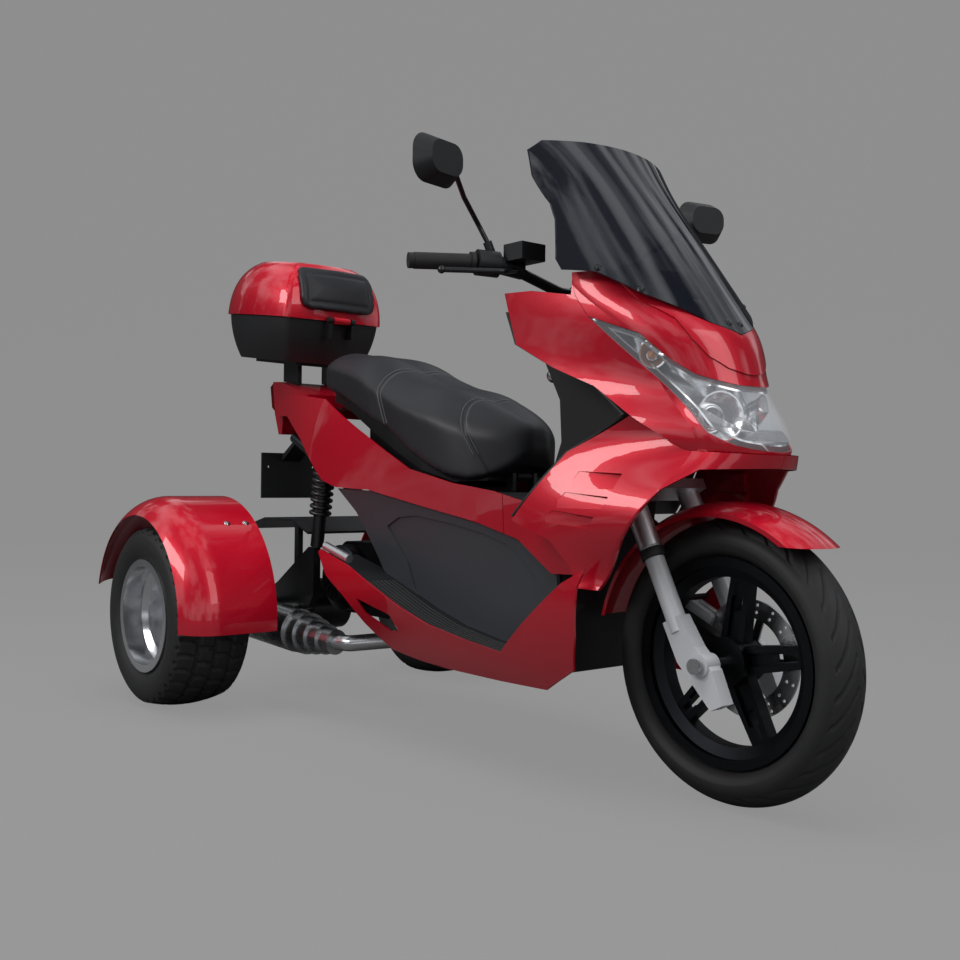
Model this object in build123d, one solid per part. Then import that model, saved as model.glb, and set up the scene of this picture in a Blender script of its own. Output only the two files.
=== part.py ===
"""Moped trike: a step-through scooter with one steered front wheel and two wide rear wheels.

Units are millimetres. +X points forward, +Y to the rider's left and +Z up, with the
ground at Z = 0. Lengths along the vehicle are given as stations: the distance
behind the front axle. Each subcomponent is one STEP file in parts/.
"""

import math
import os

from build123d import *

# Driving dimensions of the running gear
FRONT_AXLE_X = 743.0
WHEELBASE = 1430.0
TRACK = 844.0

FRONT_TYRE_OD = 518.0
FRONT_TYRE_WIDTH = 100.0
FRONT_SECTION_HEIGHT = 81.0
FRONT_BEAD_RADIUS = FRONT_TYRE_OD / 2 - FRONT_SECTION_HEIGHT
FRONT_RIM_LIP_RADIUS = FRONT_BEAD_RADIUS + 12.0
FRONT_RIM_WIDTH = 68.0
FRONT_HUB_RADIUS = 46.0
SPOKE_COUNT = 5

REAR_TYRE_OD = 459.0
REAR_TYRE_WIDTH = 205.0
REAR_SECTION_HEIGHT = 101.5
REAR_BEAD_RADIUS = REAR_TYRE_OD / 2 - REAR_SECTION_HEIGHT
REAR_RIM_LIP_RADIUS = REAR_BEAD_RADIUS + 13.0
REAR_RIM_WIDTH = 190.0

TYRE_WALL = 12.0
RIM_WALL = 5.0

RAKE_DEG = 27.0
AXLE_LEAD = 28.0
FORK_HALF_SPACING = 82.0
FORK_TUBE_RADIUS = 18.5

AXLE_RADIUS = 10.0
SHAFT_CLEARANCE = 0.06
BEAD_CLEARANCE = 0.3
SEAM = 0.8
PANEL = 4.5

FRONT_AXLE_Z = FRONT_TYRE_OD / 2
REAR_AXLE_Z = REAR_TYRE_OD / 2
REAR_AXLE_X = FRONT_AXLE_X - WHEELBASE

# Stations are set out for this wheelbase. A longer one stretches the body between the
# handlebar and the engine
SET_OUT_WHEELBASE = 1430.0
STRETCH_FROM = 530.0
STRETCH_TO = 1000.0


def x_at(station):
    """X of a station, the distance behind the front axle."""
    share = min(1.0, max(0.0, (station - STRETCH_FROM) / (STRETCH_TO - STRETCH_FROM)))
    return FRONT_AXLE_X - station - share * (WHEELBASE - SET_OUT_WHEELBASE)


def rear_x(station):
    """X of a station on the engine and the rear axle, which keep together."""
    return REAR_AXLE_X + SET_OUT_WHEELBASE - station


def save(shape, node):
    """Writes one subcomponent to parts/."""
    export_step(shape, os.path.join("parts", node + ".step"))


def both_sides(make, node):
    """Makes the right-hand piece and its mirror image, and writes both."""
    right = make()
    save(right, node + "_right")
    save(mirror(right, about=Plane.XZ), node + "_left")


def pair(make, node):
    """Makes the right-hand piece and its mirror image, and writes them as one node."""
    right = make()
    save(Compound(children=[right, mirror(right, about=Plane.XZ)]), node)


def side_face(points):
    """A face in the vertical plane through the centre line, from (station, height) points."""
    return make_face(Polyline(*[(x_at(s), 0, z) for s, z in points], close=True))


def side_prism(points, grow=0.0, half_width=700.0):
    """The side outline of a panel, as a block across the whole width."""
    face = side_face(points)
    if grow:
        face = offset(face, amount=grow)
    return extrude(face, amount=half_width, dir=(0, 1, 0), both=True)


def side_slab(points, y0, y1):
    """A side outline that fills the width from y0 to y1."""
    face = Pos(0, y0, 0) * side_face(points)
    return extrude(face, amount=y1 - y0, dir=(0, 1, 0))


def half(shape, side):
    """The part of a shape on one side of the centre line, less half a seam."""
    span = 4000.0
    block = Pos(0, SEAM / 2, 0) * Box(span, span, span, align=(Align.CENTER, Align.MIN, Align.CENTER))
    return shape & (block if side > 0 else Rot(0, 0, 180) * block)


def rod(start, end, radius, at=x_at):
    """A round bar between two (station, y, z) points."""
    a = Vector(at(start[0]), start[1], start[2])
    b = Vector(at(end[0]), end[1], end[2])
    plane = Plane(origin=a, z_dir=b - a)
    return plane * Cylinder(radius, (b - a).length, align=(Align.CENTER, Align.CENTER, Align.MIN))


def bent_tube(points, radius, bend, at=x_at):
    """A bent round tube along straight runs joined by arcs."""
    path = FilletPolyline(*[(at(s), y, z) for s, y, z in points], radius=bend)
    section = Plane(origin=path @ 0, z_dir=path % 0) * Circle(radius)
    return sweep(section, path=path)


# Wheels


def tyre(od, width, bead_radius, bead_width, lip_radius, shoulder_drop, shoulder_width):
    """A tyre carcass of even wall, revolved about the axle. Its beads stand inside the rim's lips."""
    crown = od / 2
    toe = lip_radius + 4
    belly = (toe + crown) / 2 - shoulder_drop * 0.2
    shoulder = crown - shoulder_drop

    def half_outline(inset):
        bead = Vector(bead_radius, bead_width / 2 - inset)
        heel = Vector(toe, bead_width / 2 - inset)
        side = Vector(belly, width / 2 - inset)
        edge = Vector(shoulder - inset * 0.9, shoulder_width / 2 - inset * 0.7)
        return bead, heel, side, edge, Vector(crown - inset, 0)

    def flip(v):
        return Vector(v.X, -v.Y)

    b0, h0, s0, e0, c0 = half_outline(0)
    b1, h1, s1, e1, c1 = half_outline(TYRE_WALL)
    outline = [
        Line(b0, h0),
        ThreePointArc(h0, s0, e0),
        ThreePointArc(e0, c0, flip(e0)),
        ThreePointArc(flip(e0), flip(s0), flip(h0)),
        Line(flip(h0), flip(b0)),
        Line(flip(b0), flip(b1)),
        Line(flip(b1), flip(h1)),
        ThreePointArc(flip(h1), flip(s1), flip(e1)),
        ThreePointArc(flip(e1), c1, e1),
        ThreePointArc(e1, s1, h1),
        Line(h1, b1),
        Line(b1, b0),
    ]
    return revolve(make_face(outline), Axis.Y)


def front_tyre():
    body = tyre(FRONT_TYRE_OD, FRONT_TYRE_WIDTH, FRONT_BEAD_RADIUS + BEAD_CLEARANCE,
                FRONT_RIM_WIDTH - 13, FRONT_RIM_LIP_RADIUS, 22, 82)
    return Pos(FRONT_AXLE_X, 0, FRONT_AXLE_Z) * body


def rim_barrel(lip_radius, bead_radius, width, well_radius, well_width):
    """A drop-centre rim of even wall."""
    lip = 6.0
    w = width / 2
    outer = [
        (lip_radius, w), (lip_radius, w - lip), (bead_radius, w - lip), (bead_radius, well_width / 2 + 8),
        (well_radius, well_width / 2), (well_radius, -well_width / 2), (bead_radius, -well_width / 2 - 8),
        (bead_radius, -w + lip), (lip_radius, -w + lip), (lip_radius, -w),
    ]
    inner = [
        (bead_radius - RIM_WALL, -w), (bead_radius - RIM_WALL, -well_width / 2 - 10),
        (well_radius - RIM_WALL, -well_width / 2 - 2), (well_radius - RIM_WALL, well_width / 2 + 2),
        (bead_radius - RIM_WALL, well_width / 2 + 10), (bead_radius - RIM_WALL, w),
    ]
    return revolve(make_face(Polyline(*outer, *inner, close=True)), Axis.Y)


def front_rim():
    """Cast wheel: barrel, hub and five twin-rib spokes, each with a slot near the rim."""
    well = FRONT_BEAD_RADIUS - 20.0
    barrel = rim_barrel(FRONT_RIM_LIP_RADIUS, FRONT_BEAD_RADIUS, FRONT_RIM_WIDTH, well, 26)
    hub = Rot(90, 0, 0) * Cylinder(FRONT_HUB_RADIUS, 58)
    spoke_root, spoke_tip, spoke_depth = 52.0, 40.0, 26.0
    slot_to, slot_length, slot_width = well - 12.0, 54.0, 15.0
    outline = Polyline((20, 0, -spoke_root / 2), (well - 2, 0, -spoke_tip / 2),
                       (well - 2, 0, spoke_tip / 2), (20, 0, spoke_root / 2), close=True)
    spoke = extrude(make_face(outline), amount=spoke_depth / 2, dir=(0, 1, 0), both=True)
    slot = Pos(slot_to - slot_length / 2, 0, 0) * Box(slot_length, 60, slot_width)
    recess_depth = 7.0
    recess = Pos(slot_to - 66, -spoke_depth / 2, 0) * Box(80, recess_depth * 2, slot_width * 1.6)
    spoke = spoke - slot - recess
    wheel = barrel + hub
    for i in range(SPOKE_COUNT):
        wheel += Rot(0, i * 360 / SPOKE_COUNT - 82, 0) * spoke
    wheel -= Rot(90, 0, 0) * Cylinder(AXLE_RADIUS + SHAFT_CLEARANCE, 200)
    return Pos(FRONT_AXLE_X, 0, FRONT_AXLE_Z) * wheel


DISC_RADIUS = 110.0
DISC_Y = 46.0
DISC_THICKNESS = 4.0


def front_disc():
    """Drilled brake disc on a five-arm carrier, bolted to the left of the hub."""
    ring = Cylinder(DISC_RADIUS, DISC_THICKNESS) - Cylinder(DISC_RADIUS - 34, 20)
    carrier = Cylinder(40, DISC_THICKNESS)
    for i in range(5):
        carrier += Rot(0, 0, i * 72) * (Pos(58, 0, 0) * Box(50, 16, DISC_THICKNESS))
    disc = ring + carrier
    for ring_radius, count, hole in ((DISC_RADIUS - 8, 18, 3.2), (DISC_RADIUS - 22, 18, 3.2)):
        disc -= PolarLocations(ring_radius, count) * Cylinder(hole, 20)
    disc -= Cylinder(AXLE_RADIUS + SHAFT_CLEARANCE, 20)
    spacer_length = DISC_Y - DISC_THICKNESS / 2 - 29
    spacer = Cylinder(34, spacer_length) - Cylinder(AXLE_RADIUS + SHAFT_CLEARANCE, 200)
    disc += Pos(0, 0, DISC_THICKNESS / 2 + spacer_length / 2) * spacer
    return Pos(FRONT_AXLE_X, DISC_Y, FRONT_AXLE_Z) * (Rot(90, 0, 0) * disc)


def rear_tyre():
    """Wide low-profile tyre of the right-hand wheel."""
    body = tyre(REAR_TYRE_OD, REAR_TYRE_WIDTH, REAR_BEAD_RADIUS + BEAD_CLEARANCE,
                REAR_RIM_WIDTH - 13, REAR_RIM_LIP_RADIUS, 13, 176)
    return Pos(REAR_AXLE_X, -TRACK / 2, REAR_AXLE_Z) * body


def rear_rim():
    """Deep-dished polished wheel: its centre disc sits well inboard of the outer lip."""
    well = REAR_BEAD_RADIUS - 24.0
    wheel = rim_barrel(REAR_RIM_LIP_RADIUS, REAR_BEAD_RADIUS, REAR_RIM_WIDTH, well, 70)
    disc_y, disc_thickness = 28.0, 10.0
    wheel += Pos(0, disc_y, 0) * (Rot(90, 0, 0) * Cylinder(well - 2, disc_thickness))
    hub_length = 70.0
    wheel += Pos(0, disc_y + 10, 0) * (Rot(90, 0, 0) * Cylinder(38, hub_length))
    wheel += Pos(0, disc_y - 22, 0) * (Rot(90, 0, 0) * Cylinder(30, 40))
    wheel -= Pos(0, disc_y, 0) * (Rot(90, 0, 0) * Cylinder(AXLE_RADIUS + SHAFT_CLEARANCE, 60))
    wheel -= Pos(0, disc_y + 60, 0) * (Rot(90, 0, 0) * Cylinder(AXLE_RADIUS + SHAFT_CLEARANCE, 120))
    lug_circle, lug_count, lug_radius, lug_height = 52.0, 4, 9.0, 12.0
    for i in range(lug_count):
        angle = math.radians(45 + i * 360 / lug_count)
        nut = Rot(90, 0, 0) * Cylinder(lug_radius, lug_height)
        wheel += Pos(lug_circle * math.cos(angle), disc_y - 10, lug_circle * math.sin(angle)) * nut
    return Pos(REAR_AXLE_X, -TRACK / 2, REAR_AXLE_Z) * wheel


# Steering: fork, front mudguard, handlebar and mirrors

# The steering axis passes AXLE_LEAD behind the front axle's station at this height
STEER_DATUM_Z = 259.0
STEER_PLANE = Plane(
    origin=(x_at(AXLE_LEAD), 0, STEER_DATUM_Z),
    x_dir=(math.cos(math.radians(RAKE_DEG)), 0, math.sin(math.radians(RAKE_DEG))),
    z_dir=(-math.sin(math.radians(RAKE_DEG)), 0, math.cos(math.radians(RAKE_DEG))),
)
AXLE_RISE = FRONT_AXLE_Z - STEER_DATUM_Z
AXLE_LOCAL_X = AXLE_LEAD * math.cos(math.radians(RAKE_DEG)) + AXLE_RISE * math.sin(math.radians(RAKE_DEG))
AXLE_LOCAL_Z = AXLE_RISE * math.cos(math.radians(RAKE_DEG)) - AXLE_LEAD * math.sin(math.radians(RAKE_DEG))
YOKE_HEIGHT = 335.0
YOKE_THICKNESS = 22.0
STEM_TOP = 770.0
STEM_RADIUS = 15.0
STEM_CLEARANCE = 0.5
LOWER_TOP = 225.0
FOOT_THICKNESS = 30.0


def fork_lower():
    """Right fork lower: silver slider and flat cast foot that leads the axle forward."""
    y = -FORK_HALF_SPACING
    low = (Align.CENTER, Align.CENTER, Align.MIN)
    slider_base = 60.0
    slider = Pos(0, y, slider_base) * Cylinder(FORK_TUBE_RADIUS, LOWER_TOP - slider_base, align=low)
    ax, az = AXLE_LOCAL_X, AXLE_LOCAL_Z
    outline = Polyline((-21, 0, 85), (21, 0, 85), (30, 0, 20), (ax + 22, 0, az - 17), (ax + 19, 0, az - 79),
                       (ax - 11, 0, az - 79), (-20, 0, az + 23), close=True)
    foot = extrude(make_face(outline), amount=FOOT_THICKNESS / 2, dir=(0, 1, 0), both=True)
    boss = Pos(ax, 0, az) * (Rot(90, 0, 0) * Cylinder(21, FOOT_THICKNESS + 6))
    leg = slider + Pos(0, y, 0) * (foot + boss)
    leg -= Pos(ax, 0, az) * (Rot(90, 0, 0) * Cylinder(AXLE_RADIUS, 400))
    return STEER_PLANE * leg


def fork_yoke():
    """Both stanchion tubes, the yoke that clamps them, and the steering stem."""
    low = (Align.CENTER, Align.CENTER, Align.MIN)
    seat_gap, collar_radius = 0.2, 21.5
    tube_length = YOKE_HEIGHT + YOKE_THICKNESS - LOWER_TOP - seat_gap
    width = 2 * FORK_HALF_SPACING + 52
    assembly = Pos(0, 0, YOKE_HEIGHT) * Box(56, width, YOKE_THICKNESS, align=low)
    for y in (-FORK_HALF_SPACING, FORK_HALF_SPACING):
        assembly += Pos(0, y, LOWER_TOP + seat_gap) * Cylinder(collar_radius, tube_length, align=low)
    assembly += Pos(0, 0, YOKE_HEIGHT) * Cylinder(STEM_RADIUS, STEM_TOP - YOKE_HEIGHT, align=low)
    return STEER_PLANE * assembly


def front_axle():
    """Front wheel spindle, held in both fork feet."""
    length = 2 * FORK_HALF_SPACING + 56
    axle = Rot(90, 0, 0) * Cylinder(AXLE_RADIUS - 0.02, length)
    for y in (-length / 2, length / 2):
        axle += Pos(0, y, 0) * (Rot(90, 0, 0) * Cylinder(14, 8))
    return Pos(FRONT_AXLE_X, 0, FRONT_AXLE_Z) * axle


def brake_caliper():
    """Two-piston caliper that straddles the disc behind the left fork leg, on its lug."""
    slot = Pos(8, 0, 0) * Box(60, DISC_THICKNESS + 6, 120)
    caliper = fillet(Box(64, 34, 74).edges().filter_by(Axis.Y), 8) - slot
    caliper = Pos(x_at(118), DISC_Y, FRONT_AXLE_Z + 52) * (Rot(0, 25, 0) * caliper)
    lug_outer = FORK_HALF_SPACING - FOOT_THICKNESS / 2
    lug_inner = DISC_Y + 12
    lug = Pos(x_at(86), (lug_outer + lug_inner) / 2, FRONT_AXLE_Z + 44) * Box(60, lug_outer - lug_inner, 34)
    return caliper + (lug - mirror(fork_lower(), about=Plane.XZ))


TYRE_TO_FENDER = 31.0
FENDER_RADIUS = FRONT_TYRE_OD / 2 + TYRE_TO_FENDER
FENDER_HALF_WIDTH = FRONT_TYRE_WIDTH / 2 + 24.0


def front_fender():
    """Red front mudguard: a crowned channel about the wheel, cut to a beak in front."""
    wall = 3.5
    skirt = FENDER_RADIUS - 28.0

    def ring(inset):
        edge, crown = FENDER_HALF_WIDTH - inset, FENDER_RADIUS - inset
        return [
            Line((skirt, edge), (skirt + 8, edge)),
            ThreePointArc((skirt + 8, edge), (crown - 7, edge * 0.66), (crown, 0)),
            ThreePointArc((crown, 0), (crown - 7, -edge * 0.66), (skirt + 8, -edge)),
            Line((skirt + 8, -edge), (skirt, -edge)),
        ]

    closing = [
        Line((skirt, -FENDER_HALF_WIDTH), (skirt, -FENDER_HALF_WIDTH + wall)),
        Line((skirt, FENDER_HALF_WIDTH - wall), (skirt, FENDER_HALF_WIDTH)),
    ]
    profile = make_face(ring(0) + ring(wall) + closing)
    sweep_deg = 150.0
    front_deg = 34.0
    shell = revolve(Rot(0, -front_deg, 0) * profile, Axis.Y, -sweep_deg)
    shell = Pos(FRONT_AXLE_X, 0, FRONT_AXLE_Z) * shell
    outline = [(-260, 470), (-180, 474), (-120, 478), (-20, 482), (60, 472), (118, 442), (150, 468),
               (185, 430),
               (222, 360), (244, 320), (330, 320), (330, 640), (-260, 640)]
    fender = shell & side_prism([(s, z + AXLE_RISE) for s, z in outline])
    for y in (-FORK_HALF_SPACING, FORK_HALF_SPACING):
        fender -= STEER_PLANE * (Pos(0, y, 0) * Cylinder(22.0, 1200))
    return fender


GRIP_INNER = (455, 240, 1014)
GRIP_OUTER = (511, 370, 1009)
BAR_CLAMP = (397, 0, 966)
BAR_RADIUS = 11.0
GRIP_RADIUS = 16.5


def handlebar():
    """Bent steel bar in its clamp on the steering stem."""
    inner, outer = Vector(*GRIP_INNER), Vector(*GRIP_OUTER)
    end = inner + (outer - inner) * 0.9
    left = [(end.X, end.Y, end.Z), GRIP_INNER, (428, 172, 1006), (BAR_CLAMP[0], 70, BAR_CLAMP[2])]
    bar = bent_tube(left + [(s, -y, z) for s, y, z in reversed(left)], BAR_RADIUS, 40)
    clamp = Pos(0, 0, STEM_TOP + 0.3) * Box(44, 60, 46, align=(Align.CENTER, Align.CENTER, Align.MIN))
    return bar + STEER_PLANE * clamp


def grip():
    """Right-hand rubber grip with its end weight."""
    a = Vector(GRIP_INNER[0], -GRIP_INNER[1], GRIP_INNER[2])
    b = Vector(GRIP_OUTER[0], -GRIP_OUTER[1], GRIP_OUTER[2])

    def at(t):
        point = a + (b - a) * t
        return (point.X, point.Y, point.Z)

    body = rod(at(0.05), at(0.92), GRIP_RADIUS) + rod(at(0.05), at(0.11), GRIP_RADIUS + 4)
    weight = rod(at(0.92), at(1.0), GRIP_RADIUS - 1)
    return body + weight - handlebar()


def control_block():
    """Switch housing, lever perch and fluid reservoir on one side of the bar."""
    housing = rod((440, -200, 1012), (455.5, -243, 1013.8), 26)
    perch = rod((424, -150, 1004), (439.5, -198, 1012), 18)
    reservoir = Pos(x_at(400), -165, 1034) * Box(56, 62, 34)
    mirror_boss = rod((444, -212, 1030), (448, -222, 1056), 9)
    block = housing + perch + reservoir + mirror_boss
    return block - handlebar()


def brake_lever():
    """Blade lever with a ball end, ahead of the grip."""
    blade = bent_tube([(414, -176, 1000), (404, -212, 993), (462, -325, 990)], 5.5, 20)
    tip = Pos(x_at(462), -325, 990) * Sphere(8)
    return blade + tip - control_block()


MIRROR_HEAD = (412, -383, 1180)


def mirror_stem():
    """Bent round stem from the perch to the mirror's lower inner corner."""
    stem = bent_tube([(448.1, -222.2, 1056.5), (454, -240, 1088), (426, -300, 1128), (396, -345, 1160)],
                     5.0, 25)
    return stem - mirror_head()


def mirror_head():
    """Rounded shell of the mirror, deeper at its middle, facing the rider."""
    width, height, depth = 122.0, 92.0, 34.0
    rear = RectangleRounded(width, height, 34)
    front = Pos(0, 0, -depth) * RectangleRounded(width * 0.72, height * 0.66, 26)
    shell = loft([rear, front])
    tilt = Rot(0, 0, 12) * Rot(0, -90, 0) * Rot(0, 0, 90)
    return Pos(x_at(MIRROR_HEAD[0]), MIRROR_HEAD[1], MIRROR_HEAD[2]) * tilt * shell


# Front body: cowl, headlight, side fairings, wings, screen

# Plan sections of the upper front body. Columns: height, nose station, side station,
# side half-width, rear station, rear half-width
UPPER_SECTIONS = (
    (612, -84, 8, 104, 170, 172),
    (690, -80, 16, 120, 190, 198),
    (762, -38, 72, 128, 290, 210),
    (845, -8, 118, 158, 392, 217),
    (905, 36, 186, 178, 424, 219),
    (972, 100, 250, 190, 432, 216),
)

# Plan sections of the wings below, with the same columns
WING_SECTIONS = (
    (370, 40, 150, 214, 290, 240),
    (480, -20, 100, 200, 370, 240),
    (560, -70, 40, 178, 380, 236),
    (625, -104, 6, 126, 360, 230),
    (710, -96, 30, 134, 330, 224),
)


def plan_section(row, inset, open_rear):
    """One closed plan outline: two side arcs, a nose arc and a straight rear edge."""
    z, nose, side_s, side_w, rear_s, rear_w = row
    spread = (rear_w - side_w) / (rear_s - side_s)
    rear_s, rear_w = rear_s + open_rear, rear_w + spread * open_rear
    a = Vector(x_at(rear_s), -(rear_w - inset), z)
    b = Vector(x_at(side_s + inset * 0.6), -(side_w - inset * 0.9), z)
    tip = Vector(x_at(nose + inset * 1.1), 0, z)
    bulge = Vector((a.X + b.X) / 2, (a.Y + b.Y) / 2 - 6, z)

    def flip(v):
        return Vector(v.X, -v.Y, v.Z)

    return make_face([
        ThreePointArc(a, bulge, b),
        ThreePointArc(b, tip, flip(b)),
        ThreePointArc(flip(b), flip(bulge), flip(a)),
        Line(flip(a), a),
    ])


def plan_loft(table, inset=0.0, open_rear=0.0, extend=0.0):
    """A body lofted through its plan sections, optionally inset and run past both ends."""
    rows = list(table)
    if extend:
        rows[0] = (rows[0][0] - extend, *rows[0][1:])
        rows[-1] = (rows[-1][0] + extend, *rows[-1][1:])
    return loft([plan_section(row, inset, open_rear) for row in rows])


def plan_shell(table):
    """The skin of such a body, open behind, above and below."""
    return plan_loft(table) - plan_loft(table, PANEL, 80, 6)


HEADLIGHT_OUTLINE = [(-150, 626), (-92, 636), (-62, 646), (-20, 670), (10, 705), (100, 791), (200, 886),
                     (100, 849), (46, 797), (12, 773), (-36, 754), (-150, 748)]
COWL_OUTLINE = [(-150, 748), (-36, 754), (12, 773), (46, 797), (100, 849), (200, 886), (232, 930),
                (248, 990),
                (-150, 990)]
UPPER_OUTLINE = [(-150, 628), (12, 638), (105, 698), (187, 757), (275, 795), (366, 845), (400, 948),
                 (330, 946),
                 (240, 930), (240, 990), (-150, 990)]
WING_OUTLINE = [(-150, 630), (-150, 612), (-84, 606), (-21, 604), (31, 568), (96, 479), (150, 384),
                (192, 386),
                (208, 425), (250, 470), (347, 505), (237, 636), (112, 703), (104.5, 699), (12, 640)]


# Front view of the raised panel on the cowl, from its tip up. Columns: half-width, height
CREST_EDGE = ((0, 775), (20, 776), (52, 785), (82, 806), (101, 836), (114, 875), (144, 909), (160, 1000))
CREST_HEIGHT = 2.5


def front_cowl(shell):
    """Upper cowl between the headlight and the screen, which it carries, with a raised centre panel."""
    cowl = shell & side_prism(COWL_OUTLINE, -SEAM / 2) & side_prism(UPPER_OUTLINE)
    crest = plan_loft(UPPER_SECTIONS, -CREST_HEIGHT) & side_prism(COWL_OUTLINE, -SEAM / 2)
    crest = (crest & front_prism(CREST_EDGE)) - plan_loft(UPPER_SECTIONS, CREST_HEIGHT, 80, 6)
    return cowl + crest - screen_seat()


def headlight_lens(shell):
    """Clear lens that wraps round the nose and sweeps up both sides to a point."""
    return shell & side_prism(HEADLIGHT_OUTLINE, -SEAM / 2)


def side_fairing(shell):
    """Right half of the upper front fairing, round the headlight and up to the shoulder."""
    panel = shell & side_prism(UPPER_OUTLINE)
    panel = panel - side_prism(HEADLIGHT_OUTLINE, SEAM / 2) - side_prism(COWL_OUTLINE, SEAM / 2)
    return half(panel - screen_seat(), -1)


LAMP_GAP = 1.5
LAMP_DEPTH = 44.0
LAMP_WALL = 3.0
# Bowls of the main beam and the indicator. Columns: rim's centre as station, y and z, rim
# radius, depth, turn outward in degrees
LAMP_BOWLS = ((-12, -60, 699, 43, 40, 22), (88, -132, 812, 24, 24, 48))


def lamp_bowl(row, side, wall):
    """The cone of one bowl, with its wall added."""
    s, y, z, radius, depth, turn = row
    angle = math.radians(turn)
    facing = (math.cos(angle), -side * math.sin(angle), 0)
    plane = Plane(origin=(x_at(s), side * y, z), z_dir=facing)
    return plane * Pos(0, 0, -(depth + wall) / 2) * Cone(radius * 0.4 + wall, radius + wall, depth + wall)


def headlight_reflector():
    """Bright lamp housing: a tray set back behind the lens, with two round bowls on each side."""
    inside = plan_loft(UPPER_SECTIONS, PANEL + LAMP_GAP)
    behind = plan_loft(UPPER_SECTIONS, PANEL + LAMP_DEPTH + LAMP_WALL, 0, 6)
    edge = 8.0
    tray = (inside & side_prism(HEADLIGHT_OUTLINE, -edge)) - behind
    room = side_prism(HEADLIGHT_OUTLINE, -edge - LAMP_WALL) - plan_loft(UPPER_SECTIONS,
                                                                        PANEL + LAMP_DEPTH, 0, 6)
    housing = tray - room
    for row in LAMP_BOWLS:
        for side in (-1, 1):
            housing += lamp_bowl(row, side, LAMP_WALL) & inside
    for row in LAMP_BOWLS:
        for side in (-1, 1):
            housing -= lamp_bowl(row, side, 0)
    return housing


# Sunk vents on the wing. Columns: the rear end's station and half-width, then the outline
VENTS = (
    (212, 203, ((203, 600), (114, 596), (122, 568), (220, 566))),
    (236, 218, ((222, 561), (127, 554), (136, 532), (250, 531))),
    (260, 227, ((243, 527), (150, 517), (163, 496), (276, 506))),
)
VENT_TURN_DEG = 4.5


def wing(shell):
    """Right lower wing beside the wheel, with three vents that sink forward into it."""
    panel = shell & side_prism(WING_OUTLINE, -SEAM / 2)
    panel = half(panel - side_prism(UPPER_OUTLINE, SEAM / 2), -1)
    face, back = plan_loft(WING_SECTIONS), plan_loft(WING_SECTIONS, PANEL)
    lap = 0.5
    for station, width, outline in VENTS:
        axis = Axis((x_at(station), -width, 0), (0, 0, 1))
        near = side_slab(outline, -320, -100)
        pad = offset(side_face(outline), amount=PANEL)
        pad = extrude(Pos(0, -320, 0) * pad, amount=220, dir=(0, 1, 0))
        panel += (pad & plan_loft(WING_SECTIONS, PANEL - lap)) - back.rotate(axis, VENT_TURN_DEG)
        panel -= near - face.rotate(axis, VENT_TURN_DEG)
    return panel


# Screen sections. Columns: height, centre station, edge station, edge half-width
SCREEN_SECTIONS = (
    (835, -22, 190, 215),
    (930, 52, 232, 215),
    (1010, 112, 276, 208),
    (1120, 196, 318, 196),
    (1255, 300, 372, 200),
)
SCREEN_THICKNESS = 4.0
# Front view of the screen's edge. Columns: half-width, height
SCREEN_EDGE = ((0, 850), (60, 868), (150, 921), (190, 964), (220, 972), (219, 995), (198, 1075),
               (194, 1110),
               (202, 1170), (199, 1225), (172, 1246), (90, 1250), (0, 1251))


def screen_body():
    """The space behind the screen's front face, closed by a flat rear."""

    def section(row):
        z, centre, edge, width = row
        reach = 1.12
        back = x_at(centre + (edge - centre) * reach ** 2)
        a, b = Vector(back, -width * reach, z), Vector(back, width * reach, z)
        return make_face([ThreePointArc(a, Vector(x_at(centre), 0, z), b), Line(b, a)])

    return loft([section(row) for row in SCREEN_SECTIONS])


def front_prism(edge, grow=0.0):
    """A front view that is alike on both sides, as a block along the vehicle."""
    right = [(0, -y, z) for y, z in edge]
    left = [(0, y, z) for y, z in reversed(edge) if y]
    face = make_face(Polyline(*right, *left, close=True))
    if grow:
        face = offset(face, amount=grow)
    return extrude(face, amount=2000, dir=(1, 0, 0), both=True)


def windscreen():
    """Tinted screen: a tall curved sheet with flared upper corners and lower ears."""
    body = screen_body()
    return (body - Pos(-SCREEN_THICKNESS, 0, 0) * body) & front_prism(SCREEN_EDGE)


def screen_seat():
    """The recess that the screen's foot takes out of the cowl below it."""
    body = screen_body()
    return (Pos(80, 0, 0) * body - Pos(-SCREEN_THICKNESS - 0.5, 0, 0) * body) & front_prism(SCREEN_EDGE,
                                                                                            1.0)


# The rear edges of the fairing and wing, which the inner shield fills
SHIELD_EDGE = ((392, 911), (366, 846), (275, 796), (188, 758), (124, 704), (238, 637), (346, 512))
SHIELD_HALF_WIDTH = 260.0
COLUMN_REAR = ((446, 911), (438, 850), (378, 745), (372, 660), (420, 546))
COLUMN_HALF_WIDTH = 84.0
STEM_HOLE = 26.0
WAIST_Z = 701.0


def front_inside(inset):
    """The space inside the upper fairing and the wings, run on rearward."""
    span = 3000.0
    above = Pos(0, 0, WAIST_Z) * Box(span, span, span, align=(Align.CENTER, Align.CENTER, Align.MIN))
    upper = plan_loft(UPPER_SECTIONS, inset, 120) & above
    lower = plan_loft(WING_SECTIONS, inset, 120) - above
    return upper + lower


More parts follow.
